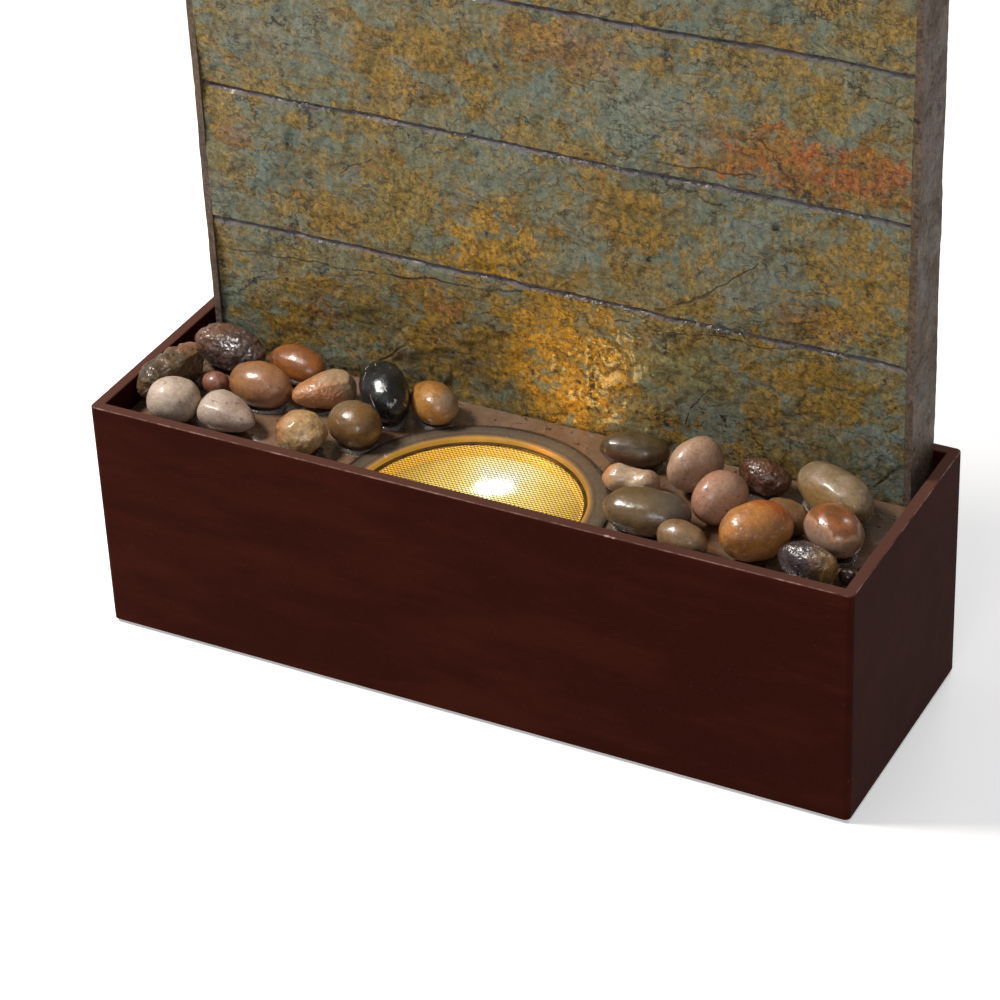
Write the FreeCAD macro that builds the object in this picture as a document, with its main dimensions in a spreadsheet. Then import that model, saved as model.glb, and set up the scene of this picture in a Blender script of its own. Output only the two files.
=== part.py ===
import FreeCAD, Part
import Sketcher
import os
import re

# A tabletop water fountain: a painted tub holds a reservoir, a pump and a lamp
# under a deck of pebbles, and a hollow wall faced with slate courses stands at
# the back of the tub. Water climbs a hose inside the wall to a trough under the
# cap, runs down the slate, and drains through a round screened port in the deck.
#
# Frame: the origin is the middle of the base pad's underside. +X is to the
# right seen from the front, +Y goes to the back, +Z is up.

Vector = FreeCAD.Vector
Rotation = FreeCAD.Rotation
Placement = FreeCAD.Placement

doc = FreeCAD.newDocument("tabletop_fountain")

# ---------------------------------------------------------------- driving sizes
SIZES = {
    # tub and its base pad
    "pad_thick": 1.5,
    "tub_width": 406,
    "tub_depth": 136,
    "tub_tall": 127,
    "tub_wall": 6,
    "tub_corner": 3,
    "tub_lip": 0.8,
    # pebble deck
    "deck_drop": 15,
    "deck_thick": 3,
    "deck_gap": 0.3,
    "leg_radius": 5,
    # round port in the deck, cut off by the front wall of the tub
    "port_x": -2,
    "port_y": -50,
    "port_flange": 68.5,
    "port_collar": 64.7,
    "port_mouth": 57.5,
    "port_ledge": 54,
    "port_rise": 1.5,
    "screen_thick": 0.6,
    "screen_rim": 2.2,
    # slate wall
    "wall_half": 191,
    "wall_front": 32,
    "slate_thick": 9,
    "side_thick": 4,
    "casing_skin": 3,
    "first_joint": 188.7,
    "course_pitch": 74.7,
    "joint_gap": 0.6,
    "course_count": 5,
    "slate_foot": 108,
    "cap_overhang": 2,
    "cap_thick": 14.5,
    "cap_lift": 4.3,
    # spill trough under the cap
    "trough_half": 183.7,
    "trough_deep": 19,
    "trough_skin": 1.8,
    "weir_thick": 1.6,
    # hose and its fittings
    "spigot": 4.5,
    "spigot_bore": 3.2,
    "hose_outer": 6,
    "riser_x": -110,
    "riser_y": 51.5,
    "elbow_z": 92,
    "hose_bend": 20,
    "clip_radius": 7.1,
    "clip_wide": 6,
    # pump
    "pump_x": -120,
    "pump_half": 22,
    "pump_front": -14,
    "pump_back": 26,
    "pump_foot": 13,
    "pump_tall": 48,
    "rotor_z": 33,
    "rotor_bore": 9.5,
    "rotor_radius": 8.6,
    "chamber": 14,
    "shaft": 1.15,
    "shaft_gap": 0.05,
    "cover_deep": 14,
    # lamp
    "lamp_x": -4,
    "lamp_y": -16,
    "lamp_radius": 21,
    "lamp_axis_z": 81,
    "lamp_pin": 2,
    "pin_gap": 0.05,
    # cord grommet in the back of the tub
    "cord_x": 150,
    "cord_z": 96,
    "cord_bore": 3.1,
    "cord_neck": 6,
    "cord_flange": 9,
    # fasteners
    "screw_shank": 1.5,
    "screw_head": 3.4,
}

sheet = doc.addObject("Spreadsheet::Sheet", "Sizes")


def set_size(alias, value, row):
    """Put one plain number in the sheet under a word alias."""
    sheet.set(f"A{row}", alias.replace("_", " "))
    sheet.set(f"B{row}", str(value))
    sheet.setAlias(f"B{row}", alias)


for row, (alias, value) in enumerate(SIZES.items(), start=1):
    set_size(alias, value, row)
doc.recompute()


def bound(text):
    """Turn a formula on the sheet's aliases into an expression."""

    def named(found):
        word = found.group(0)
        return f"Sizes.{word}" if word in SIZES else word

    return re.sub(r"[a-z][a-z_]+", named, str(text))


# Levels and planes that several pieces share, as formulas on the sheet.
FLOOR = "(pad_thick + tub_wall)"
RIM = "(pad_thick + tub_tall)"
DECK = "(pad_thick + tub_tall - deck_drop)"
TUB_IN_X = "(tub_width / 2 - tub_wall)"
TUB_IN_Y = "(tub_depth / 2 - tub_wall)"
CASING_FRONT = "(wall_front + slate_thick)"
CASING_HALF = "(wall_half - side_thick)"
WALL_BACK = "(tub_depth / 2 - tub_wall - deck_gap)"
SLATE_TOP = "(first_joint - joint_gap / 2 + (course_count - 1) * course_pitch)"


# ------------------------------------------------------------ building helpers
def place(solid, corner):
    """Bind the three coordinates of a solid's placement."""
    for axis, text in zip("xyz", corner):
        solid.setExpression(f"Placement.Base.{axis}", bound(text))
    return solid


def box(name, size, corner):
    """A box from its three lengths and its lowest corner."""
    solid = doc.addObject("Part::Box", name)
    for side, text in zip(("Length", "Width", "Height"), size):
        solid.setExpression(side, bound(text))
    return place(solid, corner)


TURNED = {
    "x": Rotation(Vector(0, 1, 0), 90),
    "y": Rotation(Vector(1, 0, 0), -90),
    "z": Rotation(),
}


def cylinder(name, radius, length, base, along="z"):
    """A cylinder whose base centre and direction are given."""
    solid = doc.addObject("Part::Cylinder", name)
    solid.Placement = Placement(Vector(), TURNED[along])
    solid.setExpression("Radius", bound(radius))
    solid.setExpression("Height", bound(length))
    return place(solid, base)


def cone(name, low, high, length, base, along="z"):
    """A cone frustum from its two radii."""
    solid = doc.addObject("Part::Cone", name)
    solid.Placement = Placement(Vector(), TURNED[along])
    solid.setExpression("Radius1", bound(low))
    solid.setExpression("Radius2", bound(high))
    solid.setExpression("Height", bound(length))
    return place(solid, base)


def join(name, pieces):
    """Several solids made into one."""
    made = doc.addObject("Part::MultiFuse", name)
    made.Shapes = pieces
    made.Refine = True
    return made


def overlap(name, pieces):
    """What several solids share."""
    made = doc.addObject("Part::MultiCommon", name)
    made.Shapes = pieces
    return made


def cut(name, base, tools):
    """A solid with one or more others taken out of it."""
    made = doc.addObject("Part::Cut", name)
    made.Base = base
    made.Tool = tools[0] if len(tools) == 1 else join(f"{name}_tools", tools)
    return made


def together(name, pieces):
    """Separate solids of one kind that share a node."""
    made = doc.addObject("Part::Compound", name)
    made.Links = pieces
    return made


def boards(name, whole, regions):
    """A hollow glued up from flat boards: the parts of it inside the given boxes, as separate solids."""
    made = [overlap(f"{name}_{tag}", [whole, box(f"{name}_{tag}_room", size, corner)])
            for tag, (size, corner) in regions.items()]
    return together(f"{name}_boards", made)


def ring(name, outer, inner, length, base, along="z"):
    """A tube or washer."""
    shell = cylinder(f"{name}_outside", outer, length, base, along)
    hole = cylinder(f"{name}_inside", inner, length, base, along)
    return cut(name, shell, [hole])


def new_body(name):
    """An empty PartDesign body."""
    return doc.addObject("PartDesign::Body", name)


def plane_sketch(owner, name, centre, level):
    """A sketch on the body's own XY plane, lifted to a level."""
    sketch = owner.newObject("Sketcher::SketchObject", name)
    planes = [f for f in owner.Origin.OriginFeatures if f.Role == "XY_Plane"]
    sketch.AttachmentSupport = (planes[0], [""])
    sketch.MapMode = "FlatFace"
    for axis, text in zip("xyz", (*centre, level)):
        sketch.setExpression(f"AttachmentOffset.Base.{axis}", bound(text))
    return sketch


def named_constraint(sketch, constraint, name, formula):
    """Add a driving constraint, name it and bind it to the sheet."""
    number = sketch.addConstraint(constraint)
    sketch.renameConstraint(number, name)
    sketch.setExpression(f"Constraints.{name}", bound(formula))


def rectangle(owner, name, width, depth, centre, level):
    """A rectangle sketch about a centre point."""
    sketch = plane_sketch(owner, name, centre, level)
    corners = [Vector(-9, -5), Vector(9, -5), Vector(9, 5), Vector(-9, 5)]
    for number in range(4):
        line = Part.LineSegment(corners[number], corners[(number + 1) % 4])
        sketch.addGeometry(line, False)
    for number in range(4):
        after = (number + 1) % 4
        level_kind = "Horizontal" if number % 2 == 0 else "Vertical"
        sketch.addConstraint(Sketcher.Constraint("Coincident", number, 2, after, 1))
        sketch.addConstraint(Sketcher.Constraint(level_kind, number))
    sketch.addConstraint(Sketcher.Constraint("Symmetric", 0, 1, 2, 1, -1, 1))
    named_constraint(sketch, Sketcher.Constraint("DistanceX", 0, 1, 0, 2, 18), "Wide", width)
    named_constraint(sketch, Sketcher.Constraint("DistanceY", 1, 1, 1, 2, 10), "Deep", depth)
    return sketch


def circles(owner, name, radius, places, level):
    """Equal circles at a few places."""
    sketch = plane_sketch(owner, name, ("0", "0"), level)
    for number, (across, back) in enumerate(places):
        sketch.addGeometry(Part.Circle(Vector(10 * number, 0), Vector(0, 0, 1), 3), False)
        for kind, tag, text in (("DistanceX", "Across", across), ("DistanceY", "Back", back)):
            limit = Sketcher.Constraint(kind, -1, 1, number, 3, 1)
            named_constraint(sketch, limit, f"{tag}{number}", text)
        size = Sketcher.Constraint("Radius", number, 3)
        named_constraint(sketch, size, f"Radius{number}", radius)
    return sketch


def pad(owner, name, sketch, length):
    """Extrude a sketch upwards."""
    made = owner.newObject("PartDesign::Pad", name)
    made.Profile = sketch
    made.setExpression("Length", bound(length))
    sketch.Visibility = False
    doc.recompute()
    return made


def pocket(owner, name, sketch, length):
    """Cut a sketch downwards, and make sure that it removes something."""
    before = owner.Shape.Volume
    made = owner.newObject("PartDesign::Pocket", name)
    made.Profile = sketch
    made.setExpression("Length", bound(length))
    doc.recompute()
    if owner.Shape.Volume >= before - 0.1:
        raise RuntimeError(f"{name} cuts nothing")
    return made


def soften(owner, name, kind, base, size, wanted):
    """Fillet or chamfer the edges that a test picks."""
    names = [f"Edge{n}" for n, edge in enumerate(base.Shape.Edges, start=1) if wanted(edge)]
    made = owner.newObject(f"PartDesign::{kind}", name)
    made.Base = (base, names)
    made.setExpression("Radius" if kind == "Fillet" else "Size", bound(size))
    doc.recompute()
    return made


def is_upright(edge):
    """True for a straight vertical edge."""
    low, high = edge.BoundBox.ZMin, edge.BoundBox.ZMax
    return high - low > 0.99 * edge.Length


def flat_at(level):
    """A test for level edges at one height."""
    return lambda edge: abs(edge.BoundBox.ZMin - level) < 0.01 and abs(edge.BoundBox.ZMax - level) < 0.01


nodes = {}


def keep(name, solid):
    """Name a finished sub-part: its label names its node."""
    solid.Label = name
    nodes[name] = solid
    return solid


# ----------------------------------------------------------------- base and tub
def make_base_pad():
    """Thin foam pad glued under the tub, the face that the fountain rests on."""
    owner = new_body("base_pad_body")
    outline = rectangle(owner, "pad_outline", "tub_width - 16", "tub_depth - 16", ("0", "0"), "0")
    sheet_pad = pad(owner, "pad_sheet", outline, "pad_thick")
    soften(owner, "pad_corners", "Fillet", sheet_pad, "8", is_upright)
    keep("base_pad", owner)


def base_screw_places():
    """Where the four screws go up through the tub floor into the wall."""
    return [(str(x), "riser_y") for x in (-165, -55, 55, 165)]


def make_tub():
    """Open rectangular tub of glued boards, with screw holes in its floor and a cord hole."""
    owner = new_body("tub_body")
    outline = rectangle(owner, "tub_outline", "tub_width", "tub_depth", ("0", "0"), "pad_thick")
    block = pad(owner, "tub_block", outline, "tub_tall")
    soften(owner, "tub_corners", "Fillet", block, "tub_corner", is_upright)
    inside = ("tub_width - 2 * tub_wall", "tub_depth - 2 * tub_wall")
    mouth = rectangle(owner, "tub_mouth", *inside, ("0", "0"), RIM)
    hollow = pocket(owner, "tub_hollow", mouth, "tub_tall - tub_wall")
    rim_level = SIZES["pad_thick"] + SIZES["tub_tall"]
    soften(owner, "tub_lip_round", "Fillet", hollow, "tub_lip", flat_at(rim_level))
    shanks = circles(owner, "screw_shanks", "screw_shank + 0.3", base_screw_places(), FLOOR)
    pocket(owner, "screw_shank_holes", shanks, "tub_wall")
    heads = circles(owner, "screw_heads", "screw_head + 0.3", base_screw_places(), "pad_thick + 2.6")
    pocket(owner, "screw_head_holes", heads, "2.6")
    neck = cylinder("cord_hole", "cord_neck", "tub_wall + 2",
                    ("cord_x", "tub_depth / 2 - tub_wall - 1", "cord_z"), "y")
    seat = cylinder("cord_seat", "cord_flange + 0.1", "3",
                    ("cord_x", "tub_depth / 2 - 1.5", "cord_z"), "y")
    drilled = cut("tub_drilled", owner, [neck, seat])
    out_x, out_y = "(tub_width / 2 + 1)", "(tub_depth / 2 + 1)"
    along_wall = (f"2 * {out_x}", "tub_wall + 1", "tub_tall")
    across_wall = ("tub_wall + 1", f"2 * {TUB_IN_Y}", "tub_tall")
    keep("tub", boards("tub", drilled, {
        "floor": ((f"2 * {out_x}", f"2 * {out_y}", "tub_wall + 1"),
                  (f"-{out_x}", f"-{out_y}", "pad_thick - 1")),
        "front": (along_wall, (f"-{out_x}", f"-{out_y}", FLOOR)),
        "back": (along_wall, (f"-{out_x}", TUB_IN_Y, FLOOR)),
        "left": (across_wall, (f"-{out_x}", f"-{TUB_IN_Y}", FLOOR)),
        "right": (across_wall, (TUB_IN_X, f"-{TUB_IN_Y}", FLOOR)),
    }))


def make_rock_deck():
    """Tray that carries the pebbles: it goes round the wall and stands on legs."""
    owner = new_body("deck_body")
    plate_size = (f"2 * ({TUB_IN_X} - deck_gap)", f"2 * ({TUB_IN_Y} - deck_gap)")
    outline = rectangle(owner, "deck_outline", *plate_size, ("0", "0"), f"{DECK} - deck_thick")
    pad(owner, "deck_plate", outline, "deck_thick")
    legs = [(x, y) for x in ("-186", "186") for y in ("-50", "20")]
    feet = circles(owner, "deck_legs", "leg_radius", legs, FLOOR)
    pad(owner, "deck_leg_posts", feet, f"{DECK} - deck_thick - {FLOOR}")
    slot_deep = f"({TUB_IN_Y} + 1 - (wall_front - deck_gap))"
    slot = rectangle(owner, "deck_slot", "2 * (wall_half + deck_gap)", slot_deep,
                     ("0", f"wall_front - deck_gap + {slot_deep} / 2"), DECK)
    pocket(owner, "deck_wall_slot", slot, "deck_thick")
    hole = circles(owner, "deck_port", "port_collar + deck_gap", [("port_x", "port_y")], DECK)
    pocket(owner, "deck_port_hole", hole, "deck_thick")
    keep("rock_deck", owner)


# ------------------------------------------------------------------ round port
def port_front(name, inset, low, tall):
    """The half space behind the port's straight front edge, as a box."""
    across = "(2 * port_flange + 4)"
    back = f"(port_flange + port_y + {TUB_IN_Y} + 4)"
    corner = (f"port_x - {across} / 2", f"-{TUB_IN_Y} + deck_gap + {inset}", low)
    return box(name, (across, back, tall), corner)


def port_disc(name, radius, low, tall):
    """A disc on the port's axis."""
    return cylinder(name, radius, tall, ("port_x", "port_y", low))


def make_port_ring():
    """Stepped ring that drops into the deck and carries the screen on a ledge."""
    flange = port_disc("ring_flange", "port_flange", DECK, "port_rise")
    collar = port_disc("ring_collar", "port_collar", f"{DECK} - 7.5", "7.5")
    blank = join("ring_blank", [flange, collar])
    trimmed = overlap("ring_trimmed", [blank, port_front("ring_front", "0", f"{DECK} - 20", "40")])
    mouth = port_disc("ring_mouth", "port_mouth", f"{DECK} - 2", "10")
    throat = port_disc("ring_throat", "port_ledge", f"{DECK} - 10", "10")
    mouth_d = overlap("ring_mouth_d", [mouth, port_front("mouth_front", "2.4", f"{DECK} - 20", "40")])
    throat_d = overlap("ring_throat_d", [throat, port_front("throat_front", "5", f"{DECK} - 20", "40")])
    keep("port_ring", cut("port_ring_cut", trimmed, [mouth_d, throat_d]))


def make_port_screen():
    """Wire cloth in a thin rim: it lifts out of the ring for cleaning."""
    disc = port_disc("screen_disc", "port_mouth - 0.3", f"{DECK} - 2", "1.2")
    front = port_front("screen_front", "2.7", f"{DECK} - 20", "40")
    plate = overlap("screen_plate", [disc, front])
    inner = port_disc("screen_window", "port_mouth - 0.3 - screen_rim", f"{DECK} - 2 + screen_thick", "3")
    inner_front = port_front("window_front", "2.7 + screen_rim", f"{DECK} - 20", "40")
    window = overlap("screen_window_d", [inner, inner_front])
    keep("port_screen", cut("port_screen_cut", plate, [window]))


# ------------------------------------------------------------------ slate wall
def make_wall_casing():
    """Hollow wall core, open at the back and the top, with screw bosses."""
    depth = f"({WALL_BACK} - casing_skin - {CASING_FRONT})"
    middle = f"{CASING_FRONT} + {depth} / 2"
    owner = new_body("casing_body")
    outline = rectangle(owner, "casing_outline", f"2 * {CASING_HALF}", depth, ("0", middle), FLOOR)
    pad(owner, "casing_block", outline, f"{SLATE_TOP} - {FLOOR}")
    inside = rectangle(owner, "casing_inside", f"2 * ({CASING_HALF} - casing_skin)", depth,
                       ("0", f"{middle} + casing_skin"), SLATE_TOP)
    pocket(owner, "casing_hollow", inside, f"{SLATE_TOP} - {FLOOR} - casing_skin")
    bosses = circles(owner, "floor_bosses", "5", base_screw_places(), FLOOR)
    pad(owner, "floor_boss_posts", bosses, "16")
    pilots = circles(owner, "floor_pilots", "screw_shank", base_screw_places(), f"{FLOOR} + 12")
    pocket(owner, "floor_pilot_holes", pilots, "12")
    posts = []
    drills = []
    for number, (across, up) in enumerate(cover_screw_places()):
        boss = cylinder(f"cover_boss{number}", "4.2", f"{WALL_BACK} - casing_skin - {CASING_FRONT} - 1",
                        (across, f"{CASING_FRONT} + 1", up), "y")
        drill = cylinder(f"cover_pilot{number}", "screw_shank", "12",
                         (across, f"{WALL_BACK} - casing_skin - 10", up), "y")
        posts.append(boss)
        drills.append(drill)
    elbow_hole = cylinder("elbow_hole", "spigot + 0.2", "casing_skin + 2",
                          ("riser_x", f"{CASING_FRONT} - 1", "elbow_z"), "y")
    lead_hole = cylinder("lead_hole", "8", "casing_skin + 2",
                         ("cord_x", f"{CASING_FRONT} - 1", "cord_z"), "y")
    cored = join("casing_with_bosses", [owner, *posts])
    keep("wall_casing", cut("casing_drilled", cored, [*drills, elbow_hole, lead_hole]))


def cover_screw_places():
    """Where the six back cover screws go."""
    across = f"({CASING_HALF} - casing_skin - 4)"
    return [(side + across, str(up)) for side in ("", "-") for up in (150, 300, 450)]


def make_back_cover():
    """Flat plate that closes the wall from behind, with countersunk holes."""
    plate = box("cover_plate", (f"2 * {CASING_HALF}", "casing_skin", f"{SLATE_TOP} - {FLOOR}"),
                (f"-{CASING_HALF}", f"{WALL_BACK} - casing_skin", FLOOR))
    holes = [cylinder("cover_cord_hole", "cord_flange + 0.5", "casing_skin + 2",
                      ("cord_x", f"{WALL_BACK} - casing_skin - 1", "cord_z"), "y")]
    for number, (across, up) in enumerate(cover_screw_places()):
        holes.append(cylinder(f"cover_hole{number}", "screw_shank + 0.2", "casing_skin + 2",
                              (across, f"{WALL_BACK} - casing_skin - 1", up), "y"))
        holes.append(cone(f"cover_sink{number}", "screw_shank + 0.2", "screw_head + 0.2", "2",
                          (across, f"{WALL_BACK} - 2", up), "y"))
    keep("wall_back_cover", cut("back_cover_drilled", plate, holes))


def make_cover_screws():
    """Countersunk screws of the back cover."""
    screws = []
    for number, (across, up) in enumerate(cover_screw_places()):
        shank = cylinder(f"cover_screw_shank{number}", "screw_shank", "11.5",
                         (across, f"{WALL_BACK} - 11.7", up), "y")
        head = cone(f"cover_screw_head{number}", "screw_shank", "screw_head", "1.9",
                    (across, f"{WALL_BACK} - 2", up), "y")
        solid = join(f"cover_screw_solid{number}", [shank, head])
        cross = [box(f"cover_cross{number}{tag}", size, (f"{across} - {size[0]} / 2", f"{WALL_BACK} - 1",
                                                         f"{up} - {size[2]} / 2"))
                 for tag, size in (("a", ("3.2", "2", "0.7")), ("b", ("0.7", "2", "3.2")))]
        screws.append(cut(f"cover_screw{number}", solid, cross))
    keep("back_cover_screws", together("back_cover_screws_group", screws))


def make_base_screws():
    """Pan head screws that hold the wall to the tub floor, heads sunk in."""
    screws = []
    for number, (across, back) in enumerate(base_screw_places()):
        head = cylinder(f"base_screw_head{number}", "screw_head", "2.3",
                        (across, back, "pad_thick + 0.3"))
        shank = cylinder(f"base_screw_shank{number}", "screw_shank", f"{FLOOR} + 9 - pad_thick",
                         (across, back, "pad_thick + 1"))
        solid = join(f"base_screw_solid{number}", [head, shank])
        slot = box(f"base_screw_slot{number}", ("8", "0.8", "1.3"),
                   (f"{across} - 4", f"{back} - 0.4", "pad_thick"))
        screws.append(cut(f"base_screw{number}", solid, [slot]))
    keep("wall_base_screws", together("base_screws_group", screws))


def make_slate_courses():
    """Five slate tiles, one above the other, with a narrow joint between them."""
    for number in range(1, SIZES["course_count"] + 1):
        top = f"(first_joint - joint_gap / 2 + {number - 1} * course_pitch)"
        foot = "slate_foot" if number == 1 else f"({top} - course_pitch + joint_gap)"
        owner = new_body(f"course_body{number}")
        outline = rectangle(owner, f"course_outline{number}", f"2 * ({CASING_HALF} - 0.2)",
                            "slate_thick", ("0", "wall_front + slate_thick / 2"), foot)
        tile = pad(owner, f"course_tile{number}", outline, f"{top} - {foot}")
        front = SIZES["wall_front"]
        soften(owner, f"course_arris{number}", "Chamfer", tile, "0.6",
               lambda edge: edge.BoundBox.YMax < front + 0.01)
        keep(f"slate_course_{number}", owner)


def make_side_slates():
    """Narrow slate strips that close the two ends of the wall."""
    for name, corner in (("side_slate_left", "-wall_half"), ("side_slate_right", CASING_HALF)):
        strip = box(f"{name}_strip", ("side_thick", f"{WALL_BACK} - wall_front - 0.8",
                                      f"{SLATE_TOP} - slate_foot"),
                    (corner, "wall_front + 0.8", "slate_foot"))
        keep(name, strip)


def make_spill_trough():
    """Trough along the top of the wall, fed from below, with a lip over the slate."""
    front = f"({CASING_FRONT} + casing_skin + deck_gap)"
    back = f"({WALL_BACK} - casing_skin - deck_gap)"
    base = f"({SLATE_TOP} - trough_deep)"
    shell = box("trough_shell", ("2 * trough_half", f"{back} - {front}", f"trough_deep + weir_thick"),
                ("-trough_half", front, base))
    lip = box("trough_lip", ("2 * trough_half", f"{front} - wall_front + 1", "weir_thick"),
              ("-trough_half", "wall_front - 0.5", SLATE_TOP))
    nipple = cylinder("trough_nipple", "spigot", "14", ("riser_x", "riser_y", f"{base} - 13"))
    rise = box("trough_back_rise", ("2 * trough_half", "trough_skin", "2"),
               ("-trough_half", f"{back} - trough_skin", f"{SLATE_TOP} + 0.8"))
    solid = join("trough_solid", [shell, rise, lip, nipple])
    hollow = box("trough_hollow", ("2 * (trough_half - trough_skin)",
                                   f"{back} - {front} - 2 * trough_skin", "trough_deep + 5"),
                 ("-trough_half + trough_skin", f"{front} + trough_skin", f"{base} + trough_skin"))
    bore = cylinder("trough_bore", "spigot_bore", "20", ("riser_x", "riser_y", f"{base} - 14"))
    whole = cut("spill_trough_cut", solid, [hollow, bore])
    inner_front, inner_back = f"({front} + trough_skin)", f"({back} - trough_skin)"
    floor_top = f"({base} + trough_skin)"
    long = "2 * trough_half + 2"
    end = ("trough_skin + 1", f"{inner_back} - {inner_front}", "trough_deep + 5")
    keep("spill_trough", boards("trough", whole, {
        "floor": ((long, "60", "trough_skin + 15"), ("-trough_half - 1", f"{front} - 15", f"{base} - 15")),
        "front": ((long, "trough_skin + 15", "trough_deep + 5"),
                  ("-trough_half - 1", f"{front} - 15", floor_top)),
        "back": ((long, "trough_skin + 1", "trough_deep + 5"), ("-trough_half - 1", inner_back, floor_top)),
        "left": (end, ("-trough_half - 1", inner_front, floor_top)),
        "right": (end, ("trough_half - trough_skin", inner_front, floor_top)),
    }))


def make_top_cap():
    """Loose cap stone on two bearers, which leave a slot for the water."""
    front = "(wall_front - cap_overhang)"
    low = f"({SLATE_TOP} + cap_lift)"
    deep = f"({WALL_BACK} - {front})"
    owner = new_body("cap_body")
    outline = rectangle(owner, "cap_outline", "2 * (wall_half + cap_overhang)", deep,
                        ("0", f"{front} + {deep} / 2"), low)
    slab = pad(owner, "cap_slab", outline, "cap_thick")
    soften(owner, "cap_arris", "Chamfer", slab, "1", lambda edge: not is_upright(edge))
    bearer_size = ("side_thick + 2", f"{deep} - 8", "cap_lift")
    bearers = [box(f"cap_bearer_{tag}", bearer_size, (corner, f"{front} + 5", SLATE_TOP))
               for tag, corner in (("left", "-wall_half"), ("right", "wall_half - side_thick - 2"))]
    keep("top_cap", together("cap_on_bearers", [owner, *bearers]))


# ------------------------------------------------------------- water and hoses
def make_elbow():
    """Moulded elbow that takes the pump hose through the wall and turns it up."""
    across = cylinder("elbow_across", "spigot", "riser_y - 18", ("riser_x", "18", "elbow_z"), "y")
    up = cylinder("elbow_up", "spigot", "22", ("riser_x", "riser_y", "elbow_z"))
    knee = doc.addObject("Part::Sphere", "elbow_knee")
    knee.setExpression("Radius", bound("hose_outer"))
    place(knee, ("riser_x", "riser_y", "elbow_z"))
    stop = cylinder("elbow_stop", "hose_outer + 2", "2", ("riser_x", f"{CASING_FRONT} - 2", "elbow_z"), "y")
    solid = join("elbow_solid", [across, up, knee, stop])
    bore_across = cylinder("elbow_bore_across", "spigot_bore", "riser_y - 17",
                           ("riser_x", "17", "elbow_z"), "y")
    bore_up = cylinder("elbow_bore_up", "spigot_bore", "24", ("riser_x", "riser_y", "elbow_z"))
    keep("riser_elbow", cut("riser_elbow_cut", solid, [bore_across, bore_up]))


def make_riser_hose():
    """Straight hose inside the wall, from the elbow up to the trough."""
    low = "(elbow_z + 8)"
    length = f"{SLATE_TOP} - trough_deep - 2 - {low}"
    keep("riser_hose", ring("riser_hose_tube", "hose_outer", "spigot", length,
                            ("riser_x", "riser_y", low)))


NOZZLE_Y = "(pump_front + 6)"
NOZZLE_TOP = "(elbow_z - hose_bend)"


def bend(name, radius):
    """The quarter turn of the pump hose, from upwards to backwards."""
    made = doc.addObject("Part::Torus", name)
    turn = Rotation(Vector(0, -1, 0), Vector(0, 0, 1), Vector(-1, 0, 0), "ZXY")
    made.Placement = Placement(Vector(), turn)
    made.Angle3 = 90
    made.setExpression("Radius1", bound("hose_bend"))
    made.setExpression("Radius2", bound(radius))
    return place(made, ("riser_x", f"{NOZZLE_Y} + hose_bend", "elbow_z - hose_bend"))


def hose_run(tag, radius):
    """The pump hose's path at one radius: up, round and back."""
    low = "(pump_foot + pump_tall + 1)"
    rise = cylinder(f"hose_rise_{tag}", radius, f"elbow_z - hose_bend - {low}",
                    ("riser_x", NOZZLE_Y, low))
    back = cylinder(f"hose_back_{tag}", radius, f"30 - {NOZZLE_Y} - hose_bend",
                    ("riser_x", f"{NOZZLE_Y} + hose_bend", "elbow_z"), "y")
    return join(f"hose_run_{tag}", [rise, bend(f"hose_turn_{tag}", radius), back])


def make_pump_hose():
    """Short hose from the pump's nozzle to the elbow."""
    keep("pump_hose", cut("pump_hose_cut", hose_run("outer", "hose_outer"), [hose_run("bore", "spigot")]))


def make_hose_clips():
    """Band clips at the four hose ends."""
    low_end = ("riser_x", NOZZLE_Y, "pump_foot + pump_tall + 1.2")
    wall_end = ("riser_x", "22.5", "elbow_z")
    foot_end = ("riser_x", "riser_y", "elbow_z + 12")
    top_end = ("riser_x", "riser_y", f"{SLATE_TOP} - trough_deep - 12")
    clips = [ring(f"clip{n}", "clip_radius", "hose_outer", wide, base, along)
             for n, (base, along, wide) in enumerate(((low_end, "z", "3.6"), (wall_end, "y", "clip_wide"),
                                                      (foot_end, "z", "clip_wide"),
                                                      (top_end, "z", "clip_wide")))]
    keep("hose_clips", together("hose_clips_group", clips))


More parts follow.
